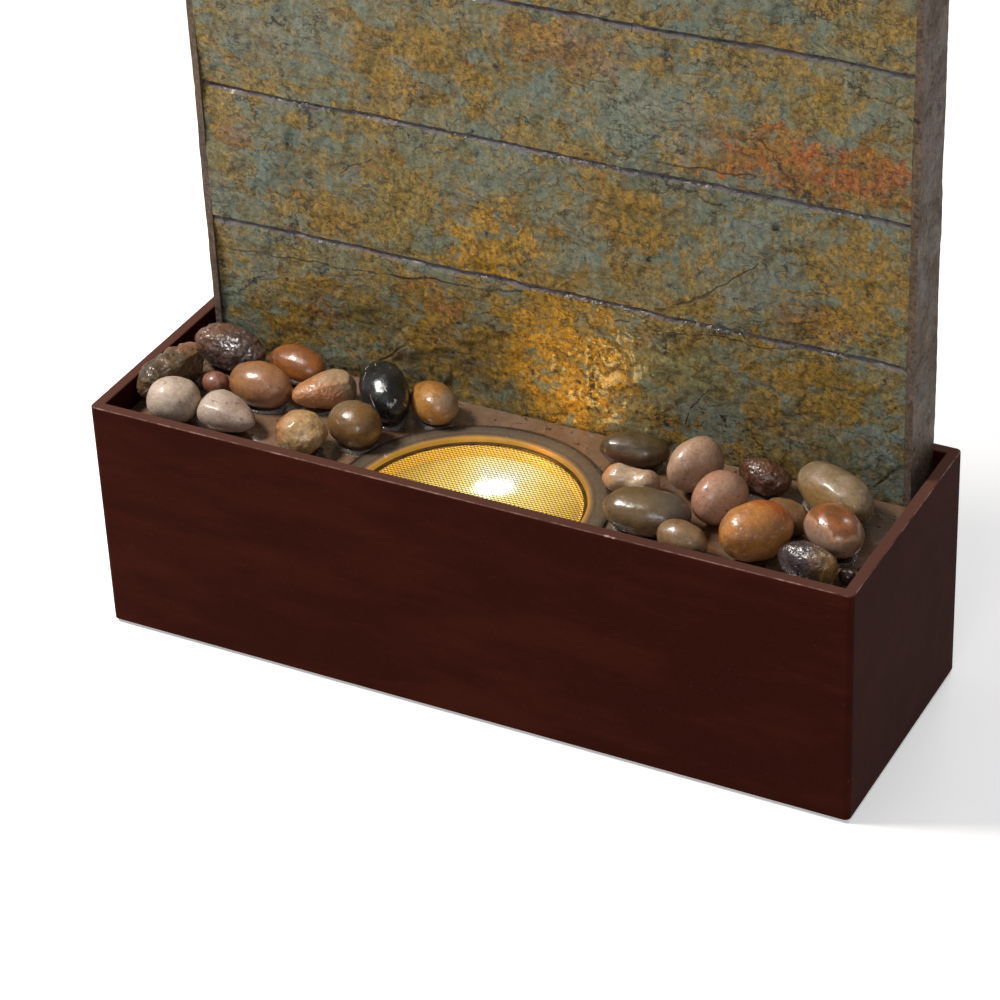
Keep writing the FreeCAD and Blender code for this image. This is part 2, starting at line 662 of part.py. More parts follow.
# ------------------------------------------------------------------------ pump
def make_pump_housing():
    """Moulded pump body: impeller chamber, rotor bore, stator pocket and nozzle."""
    body_deep = "(pump_back - pump_front)"
    block = box("pump_block", ("2 * pump_half", body_deep, "pump_tall"),
                ("pump_x - pump_half", "pump_front", "pump_foot"))
    nozzle = cylinder("pump_nozzle", "spigot", f"{NOZZLE_TOP} - pump_foot - pump_tall + 2",
                      ("riser_x", NOZZLE_Y, "pump_foot + pump_tall - 2"))
    feet = [cylinder(f"pump_foot_peg{n}", "2.5", "2.5", (f"pump_x + ({x})", y, "pump_foot - 2"))
            for n, (x, y) in enumerate(cup_places())]
    solid = join("pump_solid", [block, nozzle, *feet])
    seat = cylinder("plate_seat", "chamber + 2.2", "2.1", ("pump_x", "pump_front - 0.1", "rotor_z"), "y")
    chamber_hole = cylinder("chamber_hole", "chamber", "8", ("pump_x", "pump_front + 2", "rotor_z"), "y")
    bore = cylinder("rotor_hole", "rotor_bore", "25", ("pump_x", "pump_front + 10", "rotor_z"), "y")
    bush_seat = cylinder("rear_bush_seat", "4", "3.5", ("pump_x", "pump_front + 34.5", "rotor_z"), "y")
    outlet = cylinder("pump_outlet", "spigot_bore", "60", ("riser_x", NOZZLE_Y, "rotor_z"))
    pocket_left = box("stator_leg_left", ("8.4", "16.4", "30"), ("pump_x - 20.2", "3.8", "pump_foot + 16"))
    pocket_right = box("stator_leg_right", ("8.4", "16.4", "30"), ("pump_x + 11.8", "3.8", "pump_foot + 16"))
    pocket_top = box("stator_yoke", ("40.4", "18.4", "14"), ("pump_x - 20.2", "2.8", "pump_foot + 32"))
    keep("pump_housing", cut("pump_housing_cut", solid,
                             [seat, chamber_hole, bore, bush_seat, outlet,
                              pocket_left, pocket_right, pocket_top]))


def cup_places():
    """The four suction cups, about the pump's middle."""
    return [(x, y) for x in ("-15", "15") for y in ("-7", "19")]


def make_stator():
    """Laminated core that straddles the rotor bore, and the coil on its yoke."""
    legs = [box(f"core_leg{n}", ("8", "16", "28"), (f"pump_x + ({x})", "4", "pump_foot + 16.2"))
            for n, x in enumerate(("-20", "12"))]
    yoke = box("core_yoke", ("40", "16", "7"), ("pump_x - 20", "4", "pump_foot + 37.2"))
    keep("stator_core", join("stator_core_solid", [*legs, yoke]))
    wound = box("coil_block", ("22", "18", "13.4"), ("pump_x - 11", "3", "pump_foot + 32.3"))
    window = box("coil_window", ("24", "16", "7"), ("pump_x - 12", "4", "pump_foot + 37.2"))
    keep("stator_coil", cut("stator_coil_cut", wound, [window]))


def make_chamber_plate():
    """Round plate that closes the impeller chamber, with intake holes."""
    disc = cylinder("plate_disc", "chamber + 2", "2", ("pump_x", "pump_front", "rotor_z"), "y")
    hub = cylinder("plate_hub", "3", "2", ("pump_x", "pump_front", "rotor_z"), "y")
    inlets = [cylinder(f"plate_inlet{n}", "2.6", "4",
                       (f"pump_x + 7.5 * cos({60 * n})", "pump_front - 1",
                        f"rotor_z + 7.5 * sin({60 * n})"), "y")
              for n in range(6)]
    keep("pump_chamber_plate", cut("chamber_plate_cut", disc, [hub, *inlets]))


def make_impeller():
    """Magnet rotor with six straight vanes at its front."""
    rotor = cylinder("rotor_magnet", "rotor_radius", "22", ("pump_x", "pump_front + 10.5", "rotor_z"), "y")
    hub = cylinder("vane_hub", "3.4", "8", ("pump_x", "pump_front + 3", "rotor_z"), "y")
    vanes = []
    for number in range(6):
        vane = box(f"vane{number}", ("12", "5.6", "1.2"), ("pump_x", "pump_front + 3.6", "rotor_z"))
        angle = 60 * number
        vane.Placement = Placement(Vector(), Rotation(Vector(0, 1, 0), angle))
        place(vane, (f"pump_x - 0.6 * sin({angle})", "pump_front + 3.6", f"rotor_z - 0.6 * cos({angle})"))
        vanes.append(vane)
    solid = join("impeller_solid", [rotor, hub, *vanes])
    bore = cylinder("impeller_bore", "shaft + shaft_gap", "40", ("pump_x", "pump_front", "rotor_z"), "y")
    keep("impeller", cut("impeller_cut", solid, [bore]))


def make_shaft_and_bushes():
    """Fixed ceramic shaft in a rubber bush at each end."""
    rod = cylinder("shaft_rod", "shaft", "36", ("pump_x", "pump_front + 0.5", "rotor_z"), "y")
    keep("impeller_shaft", rod)
    front = ring("bush_front", "3", "shaft", "2.2", ("pump_x", "pump_front", "rotor_z"), "y")
    rear_solid = cylinder("bush_rear_solid", "4", "3.4", ("pump_x", "pump_front + 34.6", "rotor_z"), "y")
    rear_hole = cylinder("bush_rear_hole", "shaft", "1.9", ("pump_x", "pump_front + 34.6", "rotor_z"), "y")
    rear = cut("bush_rear", rear_solid, [rear_hole])
    keep("shaft_bushes", together("shaft_bushes_group", [front, rear]))


def make_intake_cover():
    """Snap-on intake cover with slots each side of the flow dial."""
    wide = "(2 * pump_half)"
    tall = "40"
    low = "(pump_foot + 0.5)"
    front = "(pump_front - cover_deep - 0.3)"
    outside = box("cover_outside", (wide, "cover_deep", tall), ("pump_x - pump_half", front, low))
    inside = box("cover_inside", (f"{wide} - 4", "cover_deep", f"{tall} - 4"),
                 ("pump_x - pump_half + 2", f"{front} + 2", f"{low} + 2"))
    slots = [box(f"cover_slot{n}", ("1.8", "4", "24"),
                 (f"pump_x + ({x}) - 0.9", f"{front} - 1", f"{low} + 8"))
             for n, x in enumerate((-18, -14.5, -11, 11, 14.5, 18))]
    stem_hole = cylinder("dial_hole", "2.06", "4", ("pump_x", f"{front} - 1", "rotor_z"), "y")
    keep("pump_intake_cover", cut("intake_cover_cut", outside, [inside, *slots, stem_hole]))


def make_flow_dial():
    """Flow dial: a grip outside the cover, a stem, and a shutter inside it."""
    front = "(pump_front - cover_deep - 0.3)"
    grip = cylinder("dial_grip", "7", "3", ("pump_x", f"{front} - 3.3", "rotor_z"), "y")
    bar = box("dial_bar", ("2.4", "2.5", "12"), ("pump_x - 1.2", f"{front} - 5.5", "rotor_z - 6"))
    stem = cylinder("dial_stem", "2", "5", ("pump_x", f"{front} - 0.5", "rotor_z"), "y")
    shutter = cylinder("dial_shutter", "6.5", "1.2", ("pump_x", f"{front} + 2.4", "rotor_z"), "y")
    notch = box("dial_notch", ("7", "1.2", "7"), ("pump_x", f"{front} + 2.4", "rotor_z"))
    solid = join("dial_solid", [grip, bar, stem, cut("dial_shutter_cut", shutter, [notch])])
    keep("pump_flow_dial", solid)


def make_suction_cups():
    """Rubber cups that hold the pump to the tub floor."""
    cups = []
    for number, (x, y) in enumerate(cup_places()):
        at = (f"pump_x + ({x})", y)
        skirt = cone(f"cup_skirt{number}", "6.5", "4", "3.2", (*at, FLOOR))
        neck = cylinder(f"cup_neck{number}", "4", f"pump_foot - {FLOOR} - 3", (*at, f"{FLOOR} + 3"))
        solid = join(f"cup_solid{number}", [skirt, neck])
        hollow = cone(f"cup_hollow{number}", "5.4", "1.5", "2", (*at, FLOOR))
        socket = cylinder(f"cup_socket{number}", "2.5", "3", (*at, "pump_foot - 2"))
        cups.append(cut(f"cup{number}", solid, [hollow, socket]))
    keep("pump_suction_cups", together("suction_cups_group", cups))


# ------------------------------------------------------------------------ lamp
LAMP_AT = ("lamp_x", "lamp_y")
LAMP_FLOOR = "(lamp_axis_z - 13)"
LAMP_RIM = "(lamp_axis_z + 13)"


def make_lamp_housing():
    """Sealed lamp can with a boss on each side for the thumb screws."""
    can = cylinder("lamp_can", "lamp_radius", "26", (*LAMP_AT, LAMP_FLOOR))
    bosses = [cylinder(f"lamp_boss{n}", "4.5", "9.5", (f"lamp_x + {x}", "lamp_y", "lamp_axis_z"), "x")
              for n, x in enumerate(("(-lamp_radius - 7)", "(lamp_radius - 2.5)"))]
    solid = join("lamp_solid", [can, *bosses])
    hollow = cylinder("lamp_hollow", "lamp_radius - 4.6", "26", (*LAMP_AT, f"{LAMP_FLOOR} + 3"))
    seat = cylinder("lamp_board_seat", "lamp_radius - 2", "8", (*LAMP_AT, f"{LAMP_RIM} - 5"))
    threads = [cylinder(f"lamp_thread{n}", "lamp_pin", "9", (f"lamp_x + {x}", "lamp_y", "lamp_axis_z"), "x")
               for n, x in enumerate(("(-lamp_radius - 7.5)", "(lamp_radius - 1.5)"))]
    keep("lamp_housing", cut("lamp_housing_cut", solid, [hollow, seat, *threads]))


def make_lamp_board():
    """Round lamp board with four light chips."""
    board = cylinder("board_disc", "lamp_radius - 2.2", "1.6", (*LAMP_AT, f"{LAMP_RIM} - 5"))
    chips = [cylinder(f"chip{n}", "2.6", "2", (f"lamp_x + ({x})", f"lamp_y + ({y})", f"{LAMP_RIM} - 3.6"))
             for n, (x, y) in enumerate(((-7, 0), (7, 0), (0, -7), (0, 7)))]
    keep("lamp_board", join("lamp_board_solid", [board, *chips]))


def make_lamp_front():
    """Gasket, domed lens and screw-on bezel at the top of the lamp."""
    keep("lamp_gasket", ring("gasket", "lamp_radius", "lamp_radius - 2", "1", (*LAMP_AT, LAMP_RIM)))
    glass_low = f"({LAMP_RIM} + 1)"
    keep("lamp_lens", join("lens_solid", [
        cylinder("lens_disc", "lamp_radius - 0.2", "2", (*LAMP_AT, glass_low)),
        cone("lens_crown", "lamp_radius - 4.4", "lamp_radius - 8", "2", (*LAMP_AT, f"{glass_low} + 2")),
    ]))
    skirt = cylinder("bezel_skirt", "lamp_radius + 1.8", "11", (*LAMP_AT, f"{glass_low} - 7"))
    inside = cylinder("bezel_inside", "lamp_radius", "9", (*LAMP_AT, f"{glass_low} - 7"))
    window = cylinder("bezel_window", "lamp_radius - 4", "12", (*LAMP_AT, f"{glass_low} - 4"))
    keep("lamp_bezel", cut("lamp_bezel_cut", skirt, [inside, window]))


def make_lamp_yoke():
    """Bent strip that stands on the tub floor and holds the lamp between its arms."""
    base = box("yoke_base", ("2 * lamp_radius + 18.6", "18", "2"),
               ("lamp_x - lamp_radius - 9.3", "lamp_y - 9", FLOOR))
    arms = [box(f"yoke_arm{n}", ("2", "14", f"lamp_axis_z + 8 - {FLOOR}"),
                (f"lamp_x + {x}", "lamp_y - 7", FLOOR))
            for n, x in enumerate(("(-lamp_radius - 9.3)", "(lamp_radius + 7.3)"))]
    solid = join("yoke_solid", [base, *arms])
    hole = cylinder("yoke_holes", "lamp_pin + pin_gap", "80", ("lamp_x - 40", "lamp_y", "lamp_axis_z"), "x")
    keep("lamp_yoke", cut("lamp_yoke_cut", solid, [hole]))


def make_lamp_knobs():
    """Two thumb screws that clamp the lamp at its angle and are its pivot."""
    knobs = []
    for tag, grip, pin in (("left", "(-lamp_radius - 14.6)", "(-lamp_radius - 14)"),
                           ("right", "(lamp_radius + 9.6)", "(lamp_radius - 1)")):
        head = cylinder(f"knob_head_{tag}", "6", "5", (f"lamp_x + {grip}", "lamp_y", "lamp_axis_z"), "x")
        rod = cylinder(f"knob_pin_{tag}", "lamp_pin", "15",
                       (f"lamp_x + {pin}", "lamp_y", "lamp_axis_z"), "x")
        knobs.append(join(f"knob_{tag}", [head, rod]))
    keep("lamp_knobs", together("lamp_knobs_group", knobs))


def make_cord_grommet():
    """Rubber grommet, flush with the back of the tub, that the supply lead leaves by."""
    at = ("cord_x", "cord_z")
    outer = cylinder("grommet_outer", "cord_flange", "1.5", (at[0], "tub_depth / 2 - 1.5", at[1]), "y")
    neck = cylinder("grommet_neck", "cord_neck", "7.7", (at[0], "tub_depth / 2 - 7.7", at[1]), "y")
    inner = cylinder("grommet_inner", "cord_flange", "1.7", (at[0], "tub_depth / 2 - 7.7", at[1]), "y")
    solid = join("grommet_solid", [outer, neck, inner])
    bore = cylinder("grommet_bore", "cord_bore", "12", (at[0], "tub_depth / 2 - 10", at[1]), "y")
    keep("cord_grommet", cut("cord_grommet_cut", solid, [bore]))


# --------------------------------------------------------------------- pebbles
# Each pebble: length, breadth, height, place across, place back, and its turn
# about the upright axis, in millimetres and degrees.
PEBBLES = {
    "pebble_rough_brown": (43, 20, 22, -186, -18, 80),
    "pebble_dark_lumpy": (41, 22, 21, -171, 14, -8),
    "pebble_beige_round": (27, 24, 24, -170, -42, 20),
    "pebble_beige_flat": (32, 20, 16, -141, -38, -10),
    "pebble_tan_egg": (34, 22, 22, -139, -11, -4),
    "pebble_orange_egg": (34, 20, 20, -132, 15, -12),
    "pebble_cream_round": (25, 23, 21, -98, -41, 0),
    "pebble_olive_egg": (29, 24, 23, -77, -24, -16),
    "pebble_black_veined": (41, 24, 26, -77, 6, -48),
    "pebble_grey_patch": (30, 21, 20, -52, 11, -32),
    "pebble_streaky_brown": (35, 18, 16, 56, 14, 8),
    "pebble_speckled_peanut": (29, 16, 16, 65, -9, 8),
    "pebble_pink_upright": (30, 22, 29, 92, 4, 60),
    "pebble_olive_large": (43, 26, 21, 86, -36, 8),
    "pebble_pink_tilted": (30, 23, 27, 114, -15, 62),
    "pebble_orange_large": (35, 26, 28, 141, -35, 45),
    "pebble_banded_grey": (48, 24, 25, 161, 11, -26),
    "pebble_agate": (32, 25, 24, 173, -18, -30),
}
SMALL_PEBBLES = (
    (15, 12, 12, -165, -11, 0),
    (33, 19, 18, -108, -1, 48),
    (26, 17, 20, 111, -51, -6),
    (28, 16, 18, 123, 16, -8),
    (24, 16, 18, 146, -11, 0),
    (30, 16, 20, 171, -44, -8),
    (9, 8, 8, 188, -38, 0),
)


def pebble(name, length, breadth, tall, across, back, turn):
    """A water-worn pebble as an ellipsoid that rests on the deck."""
    row = len(SIZES) + 1
    for tag, value in (("length", length), ("breadth", breadth), ("tall", tall)):
        SIZES[f"{name}_{tag}"] = value
        set_size(f"{name}_{tag}", value, row)
        row += 1
    sheet.recompute()
    solid = doc.addObject("Part::Ellipsoid", f"{name}_solid")
    solid.Placement = Placement(Vector(across, back, 0), Rotation(Vector(0, 0, 1), turn))
    solid.setExpression("Radius1", bound(f"{name}_tall / 2"))
    solid.setExpression("Radius2", bound(f"{name}_length / 2"))
    solid.setExpression("Radius3", bound(f"{name}_breadth / 2"))
    solid.setExpression("Placement.Base.z", bound(f"{DECK} + {name}_tall / 2"))
    return solid


def make_pebbles():
    """The named pebbles, and the small ones that share a node."""
    for name, numbers in PEBBLES.items():
        keep(name, pebble(name, *numbers))
    letters = "abcdefg"
    small = [pebble(f"small_pebble_{letter}", *numbers) for letter, numbers in zip(letters, SMALL_PEBBLES)]
    keep("small_pebbles", together("small_pebbles_group", small))


# ------------------------------------------------------------ build and write
MAKERS = (
    make_base_pad, make_tub, make_rock_deck, make_port_ring, make_port_screen,
    make_wall_casing, make_back_cover, make_cover_screws, make_base_screws,
    make_slate_courses, make_side_slates, make_spill_trough, make_top_cap,
    make_elbow, make_riser_hose, make_pump_hose, make_hose_clips,
    make_pump_housing, make_stator, make_chamber_plate, make_impeller,
    make_shaft_and_bushes, make_intake_cover, make_flow_dial, make_suction_cups,
    make_lamp_housing, make_lamp_board, make_lamp_front, make_lamp_yoke,
    make_lamp_knobs, make_cord_grommet, make_pebbles,
)
for maker in MAKERS:
    maker()
doc.recompute()

faults = [obj.Name for obj in doc.Objects if "Invalid" in obj.State or "Error" in obj.State]
for name, solid in nodes.items():
    if solid.Shape.isNull() or not solid.Shape.isValid() or not solid.Shape.Solids:
        faults.append(name)
if faults:
    raise RuntimeError(f"faulty objects: {faults}")

os.makedirs("parts", exist_ok=True)
for name, solid in nodes.items():
    solid.Shape.exportStep(f"parts/{name}.step")
    size = solid.Shape.BoundBox
    print(f"{name}: {len(solid.Shape.Solids)} solid, {solid.Shape.Volume / 1000:.1f} cm3, "
          f"x {size.XMin:.1f}..{size.XMax:.1f} y {size.YMin:.1f}..{size.YMax:.1f} "
          f"z {size.ZMin:.1f}..{size.ZMax:.1f}")
print(len(nodes), "nodes")
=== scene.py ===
"""Tabletop water fountain: a split slate wall over a basin of wet river pebbles with a lit port.

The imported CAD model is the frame. Stone, wire mesh and water are modelled here around it, and every
other node keeps its own shape and gets the finish of the material that it is made of.
"""

from __future__ import annotations

import logging
import math
import random
from dataclasses import dataclass, field
from enum import Enum
from typing import Callable

import bpy
from mathutils import Matrix, Vector


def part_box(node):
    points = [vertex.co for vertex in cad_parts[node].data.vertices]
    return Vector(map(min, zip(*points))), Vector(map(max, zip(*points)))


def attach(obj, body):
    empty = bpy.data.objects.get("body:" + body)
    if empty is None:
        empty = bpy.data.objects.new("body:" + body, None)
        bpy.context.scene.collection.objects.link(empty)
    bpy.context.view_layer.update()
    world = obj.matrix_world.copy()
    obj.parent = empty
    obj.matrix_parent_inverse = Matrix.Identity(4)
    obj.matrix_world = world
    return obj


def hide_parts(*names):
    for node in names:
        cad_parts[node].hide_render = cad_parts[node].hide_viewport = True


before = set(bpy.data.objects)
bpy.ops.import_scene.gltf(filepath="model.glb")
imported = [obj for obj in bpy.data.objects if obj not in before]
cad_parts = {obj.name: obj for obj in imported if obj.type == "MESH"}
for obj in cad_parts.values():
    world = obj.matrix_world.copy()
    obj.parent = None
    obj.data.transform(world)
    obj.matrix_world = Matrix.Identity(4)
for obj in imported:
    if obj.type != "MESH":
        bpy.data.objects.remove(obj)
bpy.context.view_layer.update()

LOG = logging.getLogger("fountain")
MM = 0.001
DECK_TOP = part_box("port_ring")[1].z - 1.5 * MM
PORT = Vector((-2.0, -50.0)) * MM
Colour = tuple[float, float, float, float]
Socket = bpy.types.NodeSocket
Face = Callable[[Vector], bool]


# ---------------------------------------------------------------- nodes and colours


def linear(code: str) -> Colour:
    """Turns an sRGB hex colour into the linear one that shaders work with.

    Args:
        code: six hex digits after a hash sign.

    Returns:
        Linear red, green, blue and an alpha of one.
    """
    parts = [int(code[i:i + 2], 16) / 255.0 for i in (1, 3, 5)]
    red, green, blue = [p / 12.92 if p <= 0.04045 else ((p + 0.055) / 1.055) ** 2.4 for p in parts]
    return (red, green, blue, 1.0)


def per(size_mm: float) -> float:
    """Gives the texture scale at which one feature is size_mm millimetres across."""
    return 1000.0 / size_mm


def feed(tree: bpy.types.NodeTree, socket: Socket, value: object) -> None:
    """Links a socket to another node's output, or sets it to a value or a hex colour."""
    if isinstance(value, bpy.types.NodeSocket):
        tree.links.new(value, socket)
    else:
        socket.default_value = linear(value) if isinstance(value, str) else value


def set_stops(ramp: bpy.types.ColorRamp, stops: list[tuple[float, Colour]]) -> None:
    """Gives a colour ramp its stops, the first two of which it already holds."""
    held = ramp.elements
    for index, (place, colour) in enumerate(stops):
        stop = held[index] if index < len(held) else held.new(place)
        stop.position = place
        stop.color = colour


def add(
    tree: bpy.types.NodeTree,
    kind: str,
    inputs: dict[str | int, object] | None = None,
    stops: tuple[tuple[float, str], ...] = (),
    out: int | str = 0,
    **settings: object,
) -> Socket:
    """Adds one shader node with its settings and links.

    Args:
        tree: the material's node tree.
        kind: the node's type without its ShaderNode prefix.
        inputs: a value, a hex colour or another node's output for each named input.
        stops: places and hex colours of a colour ramp.
        out: which of the node's outputs is wanted.
        settings: the node's own properties.

    Returns:
        The wanted output of the new node.
    """
    made = tree.nodes.new("ShaderNode" + kind)
    for name, value in settings.items():
        setattr(made, name, value)
    for key, value in (inputs or {}).items():
        feed(tree, made.inputs[key], value)
    if stops:
        set_stops(made.color_ramp, [(place, linear(code)) for place, code in stops])
    return made.outputs[out]


@dataclass
class Draft:
    """A material under way: its tree, its shader and the object's own coordinates."""

    name: str
    material: bpy.types.Material = field(init=False)
    tree: bpy.types.NodeTree = field(init=False)
    shader: bpy.types.Node = field(init=False)
    place: Socket = field(init=False)

    def __post_init__(self) -> None:
        """Starts the material with its shader and its coordinates."""
        self.material = bpy.data.materials.new(self.name)
        self.material.use_nodes = True
        self.tree = self.material.node_tree
        self.shader = next(n for n in self.tree.nodes if n.type == "BSDF_PRINCIPLED")
        self.place = add(self.tree, "TexCoord", out="Object")

    def set(self, **values: object) -> None:
        """Sets or links the shader's sockets, whose names are given with underscores."""
        for name, value in values.items():
            feed(self.tree, self.shader.inputs[name.replace("_", " ")], value)

    def relief(self, height: Socket, depth_mm: float, strength: float = 1.0) -> None:
        """Gives the shader a bump from a height between 0 and 1.

        Args:
            height: the height, 1 being depth_mm high.
            depth_mm: real depth of the relief.
            strength: how much of it shows.
        """
        bump = add(self.tree, "Bump", {"Height": height, "Distance": depth_mm * MM, "Strength": strength})
        self.set(Normal=bump)

    def blend(self, share: object, first: object, second: object) -> Socket:
        """Lays a second colour over a first by a share, and returns the mixed colour."""
        return add(self.tree, "Mix", {0: share, 6: first, 7: second}, out=2, data_type="RGBA")

    def patches(
        self, size_mm: float, low: float, high: float, depth: float = 4.0, on: Socket | None = None
    ) -> Socket:
        """Makes irregular patches of a real size.

        Args:
            size_mm: usual size of a patch.
            low: noise level at which a patch starts.
            high: noise level at which it is full.
            depth: octaves of finer detail.
            on: coordinates in metres, where they aren't the object's own.

        Returns:
            A share from 0 outside the patches to 1 inside.
        """
        noise = add(self.tree, "TexNoise", {"Vector": on or self.place, "Scale": per(size_mm),
                                            "Detail": depth,
                                            "Roughness": 0.62})
        return add(self.tree, "MapRange", {"Value": noise, "From Min": low, "From Max": high},
                   interpolation_type="SMOOTHSTEP")

    def warp(self, size_mm: float, reach_mm: float, depth: float, roughness: float = 0.5) -> Socket:
        """Shakes the object's coordinates, so that what is laid on them has ragged edges.

        Args:
            size_mm: usual size of a wander.
            reach_mm: how far apart the noise's two extremes move a point.
            depth: octaves of finer detail.
            roughness: strength of the finer detail.

        Returns:
            The shaken coordinates, in metres.
        """
        noise = add(self.tree, "TexNoise", {"Vector": self.place, "Scale": per(size_mm), "Detail": depth,
                                            "Roughness": roughness}, out=1)
        centred = add(self.tree, "VectorMath", {0: noise, 1: (0.5, 0.5, 0.5)}, operation="SUBTRACT")
        moved = add(self.tree, "VectorMath", {0: centred, "Scale": reach_mm * MM}, operation="SCALE")
        return add(self.tree, "VectorMath", {0: self.place, 1: moved})


# ---------------------------------------------------------------- modelling by hand


def only(piece: bpy.types.Object) -> None:
    """Deselects everything and makes one piece active."""
    if bpy.context.object and bpy.context.object.mode != "OBJECT":
        bpy.ops.object.mode_set(mode="OBJECT")
    bpy.ops.object.select_all(action="DESELECT")
    piece.select_set(True)
    bpy.context.view_layer.objects.active = piece


def pick(piece: bpy.types.Object, test: Face) -> None:
    """Goes into edit mode with just the vertices selected whose place passes the test.

    Args:
        piece: the piece to edit.
        test: takes a vertex place in the piece's coordinates, and says whether it is wanted.
    """
    only(piece)
    bpy.ops.object.mode_set(mode="EDIT")
    bpy.ops.mesh.select_mode(type="VERT")
    bpy.ops.mesh.select_all(action="DESELECT")
    bpy.ops.object.mode_set(mode="OBJECT")
    for vertex in piece.data.vertices:
        vertex.select = test(vertex.co)
    bpy.ops.object.mode_set(mode="EDIT")


def leave() -> None:
    """Goes back to object mode."""
    bpy.ops.object.mode_set(mode="OBJECT")


def settle(piece: bpy.types.Object) -> None:
    """Writes the piece's place, turn and scale into its mesh."""
    only(piece)
    bpy.ops.object.transform_apply(location=True, rotation=True, scale=True)


def modify(piece: bpy.types.Object, kind: str, **settings: object) -> None:
    """Adds one modifier to a piece and applies it."""
    only(piece)
    worked = piece.modifiers.new(kind.lower(), kind)
    for name, value in settings.items():
        setattr(worked, name, value)
    bpy.ops.object.modifier_apply(modifier=worked.name)


def cloud(
    size_mm: float, depth: int = 3, hard: bool = False, ledges: tuple[tuple[float, float], ...] = ()
) -> bpy.types.Texture:
    """Makes a cloudy height for displacing stone.

    Args:
        size_mm: usual size of its lumps.
        depth: octaves of finer detail.
        hard: makes creased lumps in place of soft ones.
        ledges: levels and heights that turn the slopes into split layers.

    Returns:
        The texture.
    """
    made = bpy.data.textures.new("height", "CLOUDS")
    made.noise_scale = size_mm * MM
    made.noise_depth = depth
    made.noise_type = "HARD_NOISE" if hard else "SOFT_NOISE"
    if ledges:
        made.use_color_ramp = True
        set_stops(made.color_ramp, [(level, (height, height, height, 1.0)) for level, height in ledges])
    return made


def dress(piece: bpy.types.Object, material: bpy.types.Material) -> None:
    """Gives all of a piece one material."""
    piece.data.materials.clear()
    piece.data.materials.append(material)


def hand_over(piece: bpy.types.Object, body: str, slot: str, *nodes: str) -> None:
    """Names what a finished piece rides on and replaces, and logs it."""
    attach(piece, body)
    if nodes:
        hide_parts(*nodes)
    LOG.info("%s: %d faces on %s", piece.name, len(piece.data.polygons), body)


# ---------------------------------------------------------------- finishes


@dataclass(frozen=True)
class StainOrGlow:
    """A patch of oxide colour on slate, or of painted lamp glow, in millimetres from the middle of the tub.
    """

    across: float
    up: float
    half_width: float
    half_height: float
    colour: str
    strength: float = 0.8


@dataclass(frozen=True)
class Fissure:
    """A long thin crack in slate from one point to another, in millimetres from the middle of the tub."""

    start: tuple[float, float]
    end: tuple[float, float]
    half_width: float = 0.28


